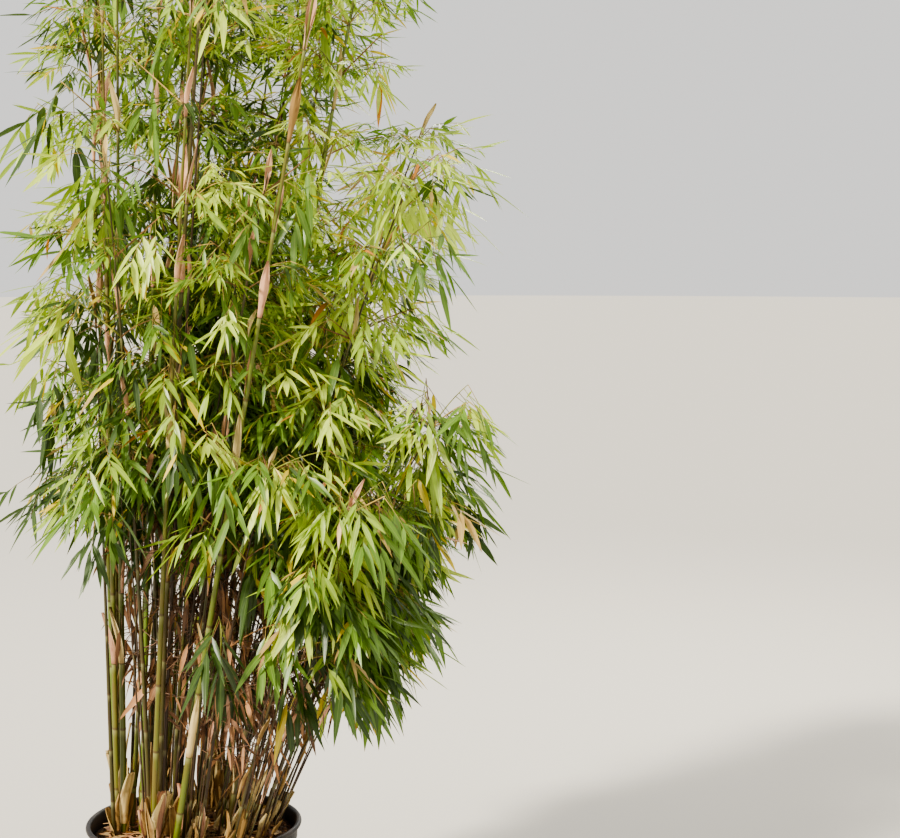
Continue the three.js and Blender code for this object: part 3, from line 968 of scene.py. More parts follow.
def pot_material(plastic, dust):
    """Black moulded plastic: dust by the rim and foot, dry splashes, rubbed streaks and fine pitting."""
    material, nodes, _, shader = new_material("pot_plastic")
    place = nodes.add("SeparateXYZ", {0: nodes.add("TexCoord").outputs["Object"]}).outputs["Z"]
    grains = (POT_PATCHES, POT_STREAKS, POT_SPECKS, POT_PITS)
    patches, streaks, specks, pits = (nodes.grain(*grain) for grain in grains)
    where = nodes.math("MAXIMUM", nodes.ramp(place, *FOOT_DUST), nodes.ramp(place, *RIM_DUST))
    film = nodes.times(nodes.times(patches, where), PATCH_DUST)
    marks = nodes.plus(nodes.times(streaks, STREAK_DUST), nodes.times(specks, SPECK_DUST))
    dusty = nodes.clamp(nodes.plus(film, marks))
    colour = nodes.mix(dusty, plastic, dust)
    rough = nodes.ramp(dusty, *POT_ROUGHNESS)
    nodes.fill(shader, {"Base Color": colour, "Roughness": rough, "Specular IOR Level": POT_SHEEN})
    height = nodes.plus(pits, nodes.times(streaks, POT_STREAK_RELIEF))
    add_bump(nodes, shader, height, POT_RELIEF)
    return material


FLOOR_WEAR = (3.0, 3.0, 0.3, 0.7)
FLOOR_WORN = (0.5, 0.5, 0.5)
FLOOR_WORN_SHARE = 0.04
FLOOR_ROUGHNESS = 0.85


def floor_material(colour):
    material, nodes, _, shader = new_material("stage_floor")
    worn = nodes.times(nodes.grain(*FLOOR_WEAR), FLOOR_WORN_SHARE)
    nodes.fill(shader, {"Base Color": nodes.mix(worn, colour, FLOOR_WORN), "Roughness": FLOOR_ROUGHNESS})
    return material


# The greens that sprays are dealt, which paint light and shade onto the leaves: the share of each in the
# shade, and what light adds, with its power
LEAF_KINDS = ["painted_sunlit", "painted_half_lit", "mid", "painted_shade"]
KIND_SHARES = np.array([0.02, 0.12, 0.32, 0.42])
KIND_BY_LIGHT = np.array([0.5, 0.26, 0.0, -0.38])
KIND_POWERS = np.array([1.8, 1.0, 1.0, 1.0])
SAME_KIND_SHARE = 0.8
# A spray's painted light, by heights and distances as (start, span)
LIT_MIDDLE = 0.08
LIT_HEIGHT = (0.45, 1.6)
LIT_REACH = (0.0, 0.45)
LIT_LEAN = (-0.1, 0.4)
LIT_ABOVE = (0.58, 0.72)
LIGHT_BY_HEIGHT = 0.4
LIGHT_BY_REACH = 0.25
LIGHT_BY_LEAN = 0.35
LIGHT_BELOW = 0.05

# Shares of leaves, and of whole fans, that have turned
TURNED_SHARES = {"yellow": 0.024, "orange": 0.007, "dry": 0.013}
TURNED_FAN_SHARE = 0.005
TURNED_FANS = ["yellow", "dry"]

# Where finer twigs are missing, as (start, span), and the share of them that is
UPRIGHT_MISSING = 0.66
UPRIGHT_RIGHT = (0.16, -0.12)
UPRIGHT_LEFT = (-0.2, 0.12)
UPRIGHT_FRONT = (-0.04, -0.1)
LOW_MISSING = 0.96
LOW_TOP = 1.05
LOW_SLOPE = 3.0
LOW_LEFT = 0.2
LOW_SPAN = -0.14
CULM_MISSING = 0.9
BESIDE_CLEAR = 1.6
BESIDE_SPAN = 0.06
BEHIND_CLEAR = 0.1
BEHIND_SPAN = -0.05

# Finer twigs, with angles in degrees and pairs as the least and the most. The shares of their kinds go in
# the order of the colours of twigs: green, straw, brown.
REACH_SPARE = 0.004
LOWEST_TIP = 0.4
EXTRA_TWIGS = {"tall": 2, "middle": 0, "low": 3}
TWIG_KIND_SHARES = [0.5, 0.3, 0.2]
TWIG_THICKNESS = 0.0021
TWIG_TURN_SPARE = 0.5
TWIG_SIZES = (0.4, 0.95)
THIN_TURN_SPARE = 0.6
THIN_SIZES = (0.4, 0.85)
FINER_RISES = (-22, 18)
FINER_LIFT = 0.06
FINER_THICKNESS = 0.0011
FINER_THICKENS = 0.004
FANS_PER_TWIG = (3, 6)
FAN_STEPS = (0.1, 0.15)
FAN_DROOP_SPARE = 30
FAN_LENGTHS = (0.62, 0.98)
# Where the crown starts and over what height it comes to its full, and what changes up to there
CROWN = (0.7, 1.0)
CROWN_DROOPS = (BLADE_DROOP + 14, BLADE_DROOP - 26)
CROWN_FANS = (1.0, 0.72)
CROWN_LEAVES = (1.06, 0.76)


class Sprays:
    """Branches, each with its fans of leaves, as they grow."""

    def __init__(self):
        self.branches = []
        self.fans = []

    def branch(self, start, end, lift, thick, kind):
        self.branches.append((start, end, lift, thick, kind))

    def blade_fan(self, root, way, length, kind):
        """A fan of leaves in place of one of the solids' blades."""
        self.fans.append((root, way, length, kind))

    def finer_fan(self, root, way, length, kind):
        """A fan of leaves, unless it would reach out of the plant's box or down onto the pot."""
        tip = root + way * length
        low, high = CAD_BOX[0] + REACH_SPARE, CAD_BOX[1] - REACH_SPARE
        if (tip > low).all() and (tip < high).all() and tip[2] > LOWEST_TIP:
            self.fans.append((root, way, length, kind))


def leaf_kind(rng, place):
    """Deals a spray its green as painted light and shade: brighter high up, outside and where the clump
    leans to, else deeper.
    """
    height = share_over(place[2], *LIT_HEIGHT)
    out = share_over(math.hypot(place[0] - LIT_MIDDLE, place[1]), *LIT_REACH)
    lean = share_over(place[0], *LIT_LEAN)
    light = LIGHT_BY_HEIGHT * height + LIGHT_BY_REACH * out + LIGHT_BY_LEAN * lean
    # Painted shade low down: below LIT_ABOVE the painted light falls away to a small share
    light *= lerp(LIGHT_BELOW, 1.0, share_over(place[2], *LIT_ABOVE))
    weights = KIND_SHARES + KIND_BY_LIGHT * light**KIND_POWERS
    return int(rng.choice(len(weights), p=weights / weights.sum()))


def twig_kind(rng):
    """Deals a twig its colour."""
    return int(rng.choice(len(TWIG_KIND_SHARES), p=TWIG_KIND_SHARES))


def bent(start, end, lift, share):
    """Points on a branch that rises over the straight line between its ends."""
    share = np.asarray(share, float)[..., None]
    return start + (end - start) * share + UP * lift * 4 * share * (1 - share)


def thinness(place):
    """The share of finer twigs that are missing: before the upright and front culms, and low down."""
    upright = share_over(place[0], *UPRIGHT_RIGHT) * share_over(place[1], *UPRIGHT_FRONT)
    upright *= share_over(place[0], *UPRIGHT_LEFT)
    low = share_over(place[2], LOW_TOP - LOW_SLOPE * max(0.0, place[0] - LOW_LEFT), LOW_SPAN)
    passed = front_culm().point(share_over(place[2], SOIL_TOP, FRONT_TIP[2] - SOIL_TOP))
    beside = np.clip(BESIDE_CLEAR - abs(place[0] - passed[0]) / BESIDE_SPAN, 0, 1)
    before = share_over(place[1], passed[1] + BEHIND_CLEAR, BEHIND_SPAN)
    return max(UPRIGHT_MISSING * upright, LOW_MISSING * low, CULM_MISSING * beside * before)


def grow_finer_twig(rng, made, cane, share, heading, size):
    """A twig that the solids leave out, shorter than theirs, with fans of leaves along its last stretch."""
    start = cane.point(share)
    way = direction(heading, TWIG_RISE + rng.uniform(*FINER_RISES))
    length = TWIG_LENGTH * (1 - TWIG_SHORTENS * share) * size
    end = start + way * length
    if rng.random() < thinness(end):
        return
    kind = leaf_kind(rng, end)
    lift = FINER_LIFT * length
    made.branch(start, end, lift, FINER_THICKNESS + FINER_THICKENS * length, twig_kind(rng))
    height = float(share_over(end[2], *CROWN))
    droop = lerp(*CROWN_DROOPS, height)
    longest = BLADE_LENGTH * lerp(*CROWN_FANS, height)
    for n in range(int(rng.integers(*FANS_PER_TWIG))):
        side = 0 if n == 0 else (-1) ** n
        root = bent(start, end, lift, 1 - n * rng.uniform(*FAN_STEPS))
        swing = heading + math.radians(side * BLADE_SWING + sway(rng, BLADE_SWING_SPARE))
        fan_kind = kind if rng.random() < SAME_KIND_SHARE else leaf_kind(rng, root)
        fan_way = direction(swing, -(droop + sway(rng, FAN_DROOP_SPARE)))
        made.finer_fan(root, fan_way, longest * rng.uniform(*FAN_LENGTHS), fan_kind)


@functools.cache
def sprays(more_twigs, follower_twigs, per_cane, thin, thick, new_culms):
    """All branches and fans: those of the solids' twigs, and finer ones within the same reach."""
    rng = np.random.default_rng(SEED_SPRAYS)
    made = Sprays()
    for cane in clump().canes:
        joints, crown = top_twigs(cane)
        for share, heading, twig in joints:
            if twig:
                start, end, blades = twig
                kind = leaf_kind(rng, end)
                made.branch(start, end, 0.0, TWIG_THICKNESS, twig_kind(rng))
                for root, way, length in blades:
                    made.blade_fan(root, way, length, kind)
            count = more_twigs + EXTRA_TWIGS[cane.rank]
            for n in range(count):
                turn = heading + (n + 1) * 2 * math.pi / (count + 1) + sway(rng, TWIG_TURN_SPARE)
                grow_finer_twig(rng, made, cane, share, turn, rng.uniform(*TWIG_SIZES))
        kind = leaf_kind(rng, cane.point(1))
        for root, way, length in crown:
            made.blade_fan(root, way, length, kind)
    for cane in [*followers(per_cane, thin, thick), *shoots(new_culms)]:
        turn = rng.uniform(0, 2 * math.pi)
        for n, share in enumerate(cane.knots()):
            for k in range(follower_twigs):
                heading = turn + n * GOLDEN_ANGLE + k * math.pi + sway(rng, THIN_TURN_SPARE)
                grow_finer_twig(rng, made, cane, float(share), heading, rng.uniform(*THIN_SIZES))
    return made


# A fan of leaves: where each leaves its twiglet, how far it turns aside, and its size beside the others
FAN_PLACES = np.array([0.3, 0.48, 0.64, 0.79, 0.9, 1.0])
FAN_SIDES = np.array([1, -1, 1, -1, 1, 0])
FAN_ANGLES = np.array([44, 41, 37, 32, 26, 5])
FAN_SIZES = np.array([0.78, 0.9, 1.0, 1.0, 0.94, 1.05])
TWIGLET_SHARE = 0.44
TWIGLET_SAG = 0.16
# Its leaves' spares, with the angle in degrees and pairs as the least and the most
LEAF_ANGLE_SPARE = 10
LEAF_HANG = 0.5
LEAF_STRAY = 0.26
LEAF_SIZES = (0.66, 1.16)
LEAF_BREADTHS = (0.84, 1.14)
LEAF_DROOP = 0.7
LAST_DROOP = 0.2
LEAF_ROLL = 0.35
LEAF_ROLL_SPARE = 0.5
LEAF_TWIST_SPARE = 0.6
LEAVES_KEPT = 0.86


def twiglet(roots, ways, lengths, share):
    """Points a share of the way along each fan's twiglet."""
    reach = (lengths * TWIGLET_SHARE)[:, None] * np.asarray(share)
    sag = DOWN * (TWIGLET_SAG * reach * share)[..., None]
    return roots[:, None, :] + ways[:, None, :] * reach[..., None] + sag


def fan_lines(fans):
    """The roots, ways and lengths of fans, each as an array."""
    return [np.array([fan[n] for fan in fans]) for n in range(3)]


def fan_leaves(rng, fans, leaf_share, slimness):
    """Every leaf of the fans, as the arrays that add_leaves takes, and the name of what it has turned to."""
    roots, ways, lengths = fan_lines(fans)
    count = (len(fans), len(FAN_PLACES))
    joints = twiglet(roots, ways, lengths, FAN_PLACES)
    across = unit(np.cross(ways, UP))[:, None, :]
    sides = FAN_SIDES * rng.choice([-1, 1], len(fans))[:, None]
    angles = np.radians(FAN_ANGLES + sway(rng, LEAF_ANGLE_SPARE, count))
    bends = unit(ways[:, None, :] + DOWN * TWIGLET_SAG * FAN_PLACES[:, None])
    aside = bends * np.cos(angles)[..., None] + across * (sides * np.sin(angles))[..., None]
    hang = DOWN * rng.uniform(0.0, LEAF_HANG, (*count, 1))
    leaf_ways = unit(aside + hang + sway(rng, LEAF_STRAY, (*count, 3)))
    grown = leaf_share * lerp(*CROWN_LEAVES, share_over(roots[:, 2], *CROWN)[:, None])
    sizes = lengths[:, None] * grown * FAN_SIZES * rng.uniform(*LEAF_SIZES, count)
    last = roots + ways * lengths[:, None] - joints[:, -1]
    leaf_ways[:, -1] = unit(last)
    sizes[:, -1] = np.linalg.norm(last, axis=1)
    widths = sizes * slimness * rng.uniform(*LEAF_BREADTHS, count)
    droops = rng.uniform(0.0, LEAF_DROOP, count)
    droops[:, -1] *= LAST_DROOP
    rolls = sides * LEAF_ROLL + sway(rng, LEAF_ROLL_SPARE, count)
    twists = sway(rng, LEAF_TWIST_SPARE, count)
    tones = (rng.random((len(fans), 1)) + rng.random(count)) / 2
    kept = rng.random(count) < LEAVES_KEPT
    kept[:, -1] = True
    names = ["", *TURNED_SHARES]
    shares = list(TURNED_SHARES.values())
    turned = rng.choice(names, count, p=[1 - sum(shares), *shares])
    turned_fans = rng.random(len(fans)) < TURNED_FAN_SHARE
    turned[turned_fans] = rng.choice(TURNED_FANS, (turned_fans.sum(), 1))
    joined = [joints, leaf_ways, sizes, widths, droops, rolls, twists, tones]
    return [values[kept] for values in joined], turned[kept]


# A joint's ring: distances along the culm and factors on its radius, both by the foot's radius
JOINT_PROFILE = [(-0.55, 1.0), (-0.14, 1.02), (0.0, 1.1), (0.1, 1.01), (0.35, 1.05), (0.75, 1.0)]
CULM_SINKS = 0.02
BURIED_JOINT = 0.01
CULM_END = 0.7
CULM_WAIST = 0.98
# Joints stand closer by the foot, by this power of the share of the bare length
JOINTS_CLOSE_UP = 1.15
CULM_SIDES = 12
THIN_CULM_SIDES = 8
THIN_INTERNODE = 0.85


def joint_distances(cane, internode):
    """How far up the culm each joint lies: closer by the foot, and at the knots of the leafy top."""
    bare = cane.bare * cane.length
    count = max(2, round(bare / internode))
    low = bare * np.linspace(0.0, 1.0, count, endpoint=False)[1:] ** JOINTS_CLOSE_UP
    return np.concatenate([[-CULM_SINKS - BURIED_JOINT], low, cane.knots() * cane.length, [cane.length]])


def add_culm(batch, cane, internode, swell, tone, sides=CULM_SIDES):
    """One culm from below the soil to its tip, with a ridge and a scar at each joint."""
    joints = joint_distances(cane, internode)
    rings = [(-CULM_SINKS, 1.0), (cane.length, CULM_END)]
    rings += [((low + high) / 2, CULM_WAIST) for low, high in zip(joints[:-1], joints[1:])]
    for joint in joints[1:-1]:
        for offset, factor in JOINT_PROFILE:
            rings.append((joint + offset * cane.foot, 1 + (factor - 1) * swell))
    distances, factors = np.array(sorted(rings)).T
    share = distances / cane.length
    place = np.interp(distances, joints, np.arange(len(joints)))
    radii = cane.radius(share) * factors
    add_tubes(batch, [cane.point(share)], [radii], sides, place=place, tone=np.full(len(place), tone))


SHEATH_ROWS = 8
SHEATH_COLUMNS = 9
SHEATH_CLEAR = 0.0006
FLARE_POWER = 1.7
TAPER_POWER = 2.4
SHEATH_END_WIDTH = 0.86
WIDEST_WRAP = 2.7
RIPPLE = {"depth": 0.12, "waves": 7, "phase": 40}


def add_sheath(batch, cane, distance, heading, height, half_width, tip_width, flare, tone):
    """A papery sheath that wraps the culm at its foot and stands off it towards its tip."""
    along = np.linspace(0, 1, SHEATH_ROWS)
    across = np.linspace(-1, 1, SHEATH_COLUMNS)
    share = (distance + height * along) / cane.length
    axis = cane.way(share)
    side = unit(np.cross(axis, direction(heading, 0)))
    out = np.cross(side, axis)
    radial = cane.radius(share) + SHEATH_CLEAR + flare * height * along**FLARE_POWER
    belly = lerp(SHEATH_END_WIDTH, 1, np.sin(np.pi * along))
    width = half_width * lerp(tip_width, 1, 1 - along**TAPER_POWER) * belly
    angle = np.clip(width / radial, 0, WIDEST_WRAP)[:, None] * across
    wave = np.sin(across * RIPPLE["waves"] + tone * RIPPLE["phase"])
    ripple = 1 + RIPPLE["depth"] * along[:, None] * wave
    round_out = out[:, None, :] * (np.cos(angle) * ripple)[..., None]
    round_side = side[:, None, :] * (np.sin(angle) * ripple)[..., None]
    verts = cane.point(share)[:, None, :] + (round_out + round_side) * radial[:, None, None]
    rows = (np.arange(SHEATH_ROWS - 1) * SHEATH_COLUMNS)[:, None]
    low = rows + np.arange(SHEATH_COLUMNS - 1)
    quads = np.stack([low, low + 1, low + 1 + SHEATH_COLUMNS, low + SHEATH_COLUMNS], axis=-1)
    spans = {"along": np.repeat(along, SHEATH_COLUMNS), "across": np.tile(across, SHEATH_ROWS)}
    batch.add(verts, [quads.reshape(-1, 4)], tone=tone, **spans)


# The soil's surface: its heap, how it sinks by the wall, and bumps as (closeness, layer of noise, height)
SOIL_HEAP = 0.004
SOIL_SINKS = 0.007
SINKS_POWER = 3
CRUMBS_FADE_POWER = 12
SOIL_BUMPS = (14, 3.0, 0.006)
SOIL_CRUMBS = (75, 9.0, 0.0035)


def bumps(x, y, closeness, layer, height):
    """The height of noisy bumps at a place."""
    return noise.noise(Vector((x * closeness, y * closeness, layer))) * height


def soil_height(x, y):
    """The height of the soil's surface: crumbs and hollows, lower by the wall."""
    reach = math.hypot(x, y) / SOIL_RADIUS
    crumbs = bumps(x, y, *SOIL_CRUMBS) * (1 - reach**CRUMBS_FADE_POWER)
    return SOIL_TOP + SOIL_HEAP - SOIL_SINKS * reach**SINKS_POWER + bumps(x, y, *SOIL_BUMPS) + crumbs


class PotSettings(bpy.types.PropertyGroup):
    """Sizes and colours of the container."""

    drain_holes: IntProperty(name="Drain holes", description="Holes round the foot", default=10, min=0)
    bead: FloatProperty(name="Rim bead", description="Radius of the rim", default=0.0052, unit="LENGTH")
    wobble: FloatProperty(name="Wobble", description="How far out of round", default=0.0012, unit="LENGTH")
    plastic: FloatVectorProperty(
        name="Plastic", description="Clean plastic", subtype="COLOR", default=srgb(13, 12, 13)
    )
    dust: FloatVectorProperty(
        name="Dust", description="Dust and dried splashes", subtype="COLOR", default=srgb(132, 118, 108)
    )


class SoilSettings(bpy.types.PropertyGroup):
    """Soil in the container and what lies on it."""

    soil_light: FloatVectorProperty(
        name="Crumbs", description="Lighter crumbs", subtype="COLOR", default=srgb(104, 76, 54)
    )
    soil_dark: FloatVectorProperty(
        name="Soil", description="Moist soil", subtype="COLOR", default=srgb(46, 32, 24)
    )
    leaves: IntProperty(name="Fallen leaves", description="Dry leaves on the soil", default=420, min=0)
    chips: IntProperty(name="Bark chips", description="Chips of bark on the soil", default=900, min=0)
    stalks: IntProperty(name="Stalks", description="Dry stalks on the soil", default=150, min=0)


class CaneSettings(bpy.types.PropertyGroup):
    """Culms and their sheaths."""

    internode: FloatProperty(name="Internode", description="Between joints", default=0.135, unit="LENGTH")
    swell: FloatProperty(name="Joint swell", description="How far joints stand out", default=1.0, min=0)
    followers: IntProperty(name="Thin culms", description="Thin culms beside each culm", default=2, min=0)
    thinnest: FloatProperty(name="Thinnest", description="Least share of the thickness", default=0.38, min=0)
    thickest: FloatProperty(name="Thickest", description="Most share of the thickness", default=0.72, min=0)
    sheath_height: FloatProperty(name="Sheath", description="Its height", default=0.125, unit="LENGTH")
    sheath_chance: FloatProperty(
        name="Sheath share", description="Joints with a sheath", default=0.56, min=0, max=1
    )
    shoots: IntProperty(name="New culms", description="Sheathed culms with hardly a leaf", default=14, min=0)


class FoliageSettings(bpy.types.PropertyGroup):
    """Twigs and leaves."""

    more_twigs: IntProperty(name="More twigs", description="Finer twigs at each joint", default=6, min=0)
    follower_twigs: IntProperty(name="Thin culms' twigs", description="Twigs per joint", default=4, min=0)
    leaf_share: FloatProperty(name="Leaf share", description="Leaf length by its fan's", default=0.57, min=0)
    slimness: FloatProperty(name="Slimness", description="Leaf width by its length", default=0.145, min=0)


class StageSettings(bpy.types.PropertyGroup):
    """Floor, lights and camera."""

    floor: FloatVectorProperty(
        name="Floor", description="Pale floor", subtype="COLOR", default=srgb(188, 184, 176)
    )
    key: FloatProperty(name="Key light", description="Strength of the sunlight", default=5.0, min=0)
    key_angle: FloatProperty(name="Softness", description="Sun's width", default=0.12, subtype="ANGLE")
    back: FloatProperty(name="Back light", description="Power", default=90, unit="POWER")
    sky: FloatProperty(name="Sky", description="Strength of the soft light", default=0.62, min=0)
    exposure: FloatProperty(name="Exposure", description="Brightness in stops", default=0.5)


CAMERA_PLACE = (0.501, -3.69, 1.48)
CAMERA_PITCH = -5.6
CAMERA_LENS = 77.3
SENSOR_WIDTH = 36.0
FLOOR_RADIUS = 40.0
FLOOR_SIDES = 96
LIGHT_TARGET = (0.1, 0.0, 1.2)
KEY_PLACE = (-2.3, -2.4, 3.9)
KEY_COLOUR = (1.0, 0.94, 0.82)
BACK_PLACE = (1.6, 3.2, 3.6)
BACK_COLOUR = (1.0, 0.97, 0.88)
BACK_SIZE = 1.8
SKY_COLOUR = (1.0, 0.985, 0.96, 1.0)
VIEW_LOOK = "AgX - Medium High Contrast"


def add_light(name, kind, place, power, colour):
    """A light at a place, aimed at the middle of the plant."""
    light = bpy.data.lights.new(name, kind)
    light.energy = power
    light.color = colour
    made = bpy.data.objects.new(name, light)
    link(made)
    made.location = place
    made.rotation_euler = (Vector(LIGHT_TARGET) - Vector(place)).to_track_quat("-Z", "Y").to_euler()
    return light


def add_floor(colour):
    """A round pale floor that belongs to the stage."""
    turns = np.linspace(0, 2 * math.pi, FLOOR_SIDES, endpoint=False)
    batch = Batch()
    batch.add(direction(turns, 0) * FLOOR_RADIUS, [np.arange(FLOOR_SIDES)[None, :]])
    floor = bpy.data.objects.new("floor", batch.mesh("floor"))
    floor.data.materials.append(floor_material(colour))
    link(floor)


def add_sky(strength):
    """Soft light from all round."""
    world = bpy.data.worlds.new("studio")
    world.use_nodes = True
    sky = world.node_tree.nodes["Background"]
    sky.inputs["Color"].default_value = SKY_COLOUR
    sky.inputs["Strength"].default_value = strength
    bpy.context.scene.world = world


class BAMBOO_OT_stage(bpy.types.Operator):
    """Makes the floor, the lights and the camera at the photograph's viewing angle"""

    bl_idname = "bamboo.stage"
    bl_label = "Stage"

    def execute(self, context):
        settings = context.scene.bamboo_stage
        camera = bpy.data.objects.new("camera", bpy.data.cameras.new("camera"))
        camera.data.lens = CAMERA_LENS
        camera.data.sensor_width = SENSOR_WIDTH
        camera.location = CAMERA_PLACE
        camera.rotation_euler = (math.radians(90 + CAMERA_PITCH), 0, 0)
        link(camera)
        context.scene.camera = camera
        add_floor(settings.floor)
        key = add_light("key", "SUN", KEY_PLACE, settings.key, KEY_COLOUR)
        key.angle = settings.key_angle
        back = add_light("back", "AREA", BACK_PLACE, settings.back, BACK_COLOUR)
        back.size = BACK_SIZE
        add_sky(settings.sky)
        context.scene.view_settings.look = VIEW_LOOK
        context.scene.view_settings.exposure = settings.exposure
        return {"FINISHED"}


POT_SEGMENTS = 160
RIM_OVERHANG = 0.008
POT_TAPER = 0.016
POT_WALL = 0.0032
POT_FOOT = RIM_RADIUS - RIM_OVERHANG - POT_TAPER
POT_FLOOR = 0.012
FOOT_RING = 0.022
FOOT_HOLLOW = 0.005
# The section from the hollow onto the foot ring, and the rounding of its outer edge by FOOT_ROUND
HOLLOW_EDGE = [(-0.004, FOOT_HOLLOW), (0, 0.001), (0.002, 0)]
FOOT_ROUND = 0.004
FOOT_CORNER = [(1, 0), (0.3, 0.3), (0, 1)]
WALL_FROM = 0.02
BAND_GAP = 0.004
BAND_DROP = 0.034
BAND_DEPTH = 0.0011
BAND_STEP = 0.003
LIP_BEADS = 2.4
BEAD_TURNS = np.radians(np.linspace(-70, 160, 13))
OUTER_ROWS = 14
INNER_ROWS = 10
# Waves of a wall that is out of round, as (number round it, phase, share), and of its rim
WALL_WAVES = [(2, 0.7, 0.6), (3, 2.1, 0.3), (5, 0.0, 0.15)]
WALL_INWARDS = 0.9
RIM_WAVE = (4, 1)
RIM_TIPS = 0.4
DRAIN_RADIUS = 0.0075
DRAIN_HEIGHT = 0.02
DRAIN_REACH = 0.03
DRAIN_TURN = 0.2
DRAIN_SIDES = 20
SHARP_DEGREES = 38


def wall_radius(height):
    """The outer radius of the pot's tapered wall."""
    return POT_FOOT + POT_TAPER * height / POT_HEIGHT


def pot_profile(bead):
    """The pot's section, from the middle of its underside round the rim to the middle of its floor."""
    hollow = POT_FOOT - FOOT_RING
    rows = [(0, FOOT_HOLLOW), *((hollow + out, z) for out, z in HOLLOW_EDGE)]
    rows += [(POT_FOOT - FOOT_ROUND * near, FOOT_ROUND * high) for near, high in FOOT_CORNER]
    band = POT_HEIGHT - BAND_DROP
    rows += [(wall_radius(z), z) for z in np.linspace(WALL_FROM, band - BAND_GAP, OUTER_ROWS)]
    rows += [(wall_radius(band) + BAND_DEPTH, z) for z in (band, band + BAND_STEP)]
    lip = POT_HEIGHT - LIP_BEADS * bead
    rows.append((wall_radius(lip) + BAND_DEPTH, lip))
    middle = RIM_RADIUS - bead
    for turn in BEAD_TURNS:
        rows.append((middle + bead * math.cos(turn), POT_HEIGHT - bead + bead * math.sin(turn)))
    heights = np.linspace(POT_HEIGHT - 2 * bead, POT_FLOOR, INNER_ROWS)
    return [*rows, *((wall_radius(z) - POT_WALL, z) for z in heights), (0, POT_FLOOR)]


def out_of_round(reach):
    """Moves a wall in and out a little, as a flexible pot's is, and tips its rim up and down."""

    def move(radius, height, angles):
        rise = height / POT_HEIGHT
        waves = sum(np.sin(count * angles + phase) * share for count, phase, share in WALL_WAVES)
        count, phase = RIM_WAVE
        dip = reach * RIM_TIPS * rise * (1 + np.sin(count * angles + phase)) / 2
        return radius + reach * rise * (waves - WALL_INWARDS), height - dip

    return move


def less(mesh, cutter):
    """The mesh with the cutter's volume taken out of it."""
    objects = [bpy.data.objects.new("whole", mesh), bpy.data.objects.new("cutter", cutter)]
    for made in objects:
        link(made)
    modifier = objects[0].modifiers.new("cut", "BOOLEAN")
    modifier.operation = "DIFFERENCE"
    modifier.solver = "EXACT"
    modifier.object = objects[1]
    graph = bpy.context.evaluated_depsgraph_get()
    result = bpy.data.meshes.new_from_object(objects[0].evaluated_get(graph))
    for made in objects:
        bpy.data.objects.remove(made)
    return result


class BAMBOO_OT_pot(bpy.types.Operator):
    """Makes the container with its rolled rim, band, foot ring and drain holes"""

    bl_idname = "bamboo.pot"
    bl_label = "Pot"

    def execute(self, context):
        settings = context.scene.bamboo_pot
        shell = Batch()
        add_revolved(shell, pot_profile(settings.bead), POT_SEGMENTS, out_of_round(settings.wobble))
        mesh = shell.mesh("pot_shell")
        count = settings.drain_holes
        if count:
            holes = Batch()
            ways = direction(np.arange(count) * 2 * math.pi / count + DRAIN_TURN, 0)
            ends = (POT_FOOT - DRAIN_REACH, POT_FOOT + DRAIN_REACH)
            paths = np.stack([ways * end for end in ends], axis=1)
            radii = np.full((count, 2), DRAIN_RADIUS)
            add_tubes(holes, paths + UP * DRAIN_HEIGHT, radii, DRAIN_SIDES)
            mesh = less(mesh, holes.mesh("holes"))
        mesh.set_sharp_from_angle(angle=math.radians(SHARP_DEGREES))
        material = pot_material(settings.plastic, settings.dust)
        piece_of(mesh, "pot_shell", material, ["pot"])
        return {"FINISHED"}


SOIL_RINGS = 44
SOIL_SEGMENTS = 144
SOIL_FROM_WALL = 0.0012
SOIL_EDGE_DEPTH = 0.012
SOIL_INNER_SHARE = 0.012
SOIL_GRAIN = {"grain": 130.0, "depth": 0.003}


class BAMBOO_OT_soil(bpy.types.Operator):
    """Makes the soil with its uneven, crumbly top"""

    bl_idname = "bamboo.soil"
    bl_label = "Soil"

    def execute(self, context):
        settings = context.scene.bamboo_soil
        edge = SOIL_RADIUS - SOIL_FROM_WALL
        low = wall_radius(SOIL_LOW) - POT_WALL - SOIL_FROM_WALL
        side = [(0, SOIL_LOW), (low, SOIL_LOW), (edge, SOIL_TOP - SOIL_EDGE_DEPTH)]
        top = [(edge * share, SOIL_TOP) for share in np.linspace(1, SOIL_INNER_SHARE, SOIL_RINGS)]

        def crumble(radius, height, angles):
            # The first two rows are the underside, which stays flat
            x, y = radius * np.cos(angles), radius * np.sin(angles)
            crumbled = np.vectorize(soil_height)(x[2:], y[2:])
            return radius, np.concatenate([height[:2], crumbled])

        batch = Batch()
        add_revolved(batch, [*side, *top, (0, soil_height(0, 0))], SOIL_SEGMENTS, crumble)
        material = earth_material("soil_mix", settings.soil_light, settings.soil_dark, **SOIL_GRAIN)
        batch.piece("soil", material, "soil", ["root_ball"])
        return {"FINISHED"}


DRY_TONES = looks(("blade", "rib", "tip"), {
    "straw": [(180, 148, 100), (208, 184, 136), (136, 94, 58)],
    "tan": [(164, 118, 80), (196, 158, 112), (112, 74, 46)],
    "brown": [(110, 76, 50), (146, 108, 72), (76, 50, 34)],
})
DRY_FINISH = {"tip_start": 0.86, "variation": 0.28, "through": 0.1, "roughness": 0.7}


def dry_leaf_material(name):
    """The material of dead leaves in one of the dry tones."""
    return leaf_material(f"leaf_{name}", **DRY_TONES[name], **DRY_FINISH)


# How far out litter may end, start and lie, and how often its way is turned to stay within the wall
LITTER_EDGE = SOIL_RADIUS - 0.008
LITTER_REACH = SOIL_RADIUS - 0.02
CHIP_REACH = SOIL_RADIUS - 0.01
WAY_TURNS = 12


def soil_spots(rng, count, reach):
    """Spots strewn over the soil within a radius, on its surface."""
    radius = reach * np.sqrt(rng.random(count))
    angle = rng.uniform(0, 2 * math.pi, count)
    x, y = radius * np.cos(angle), radius * np.sin(angle)
    return np.stack([x, y, np.vectorize(soil_height)(x, y)], axis=-1)


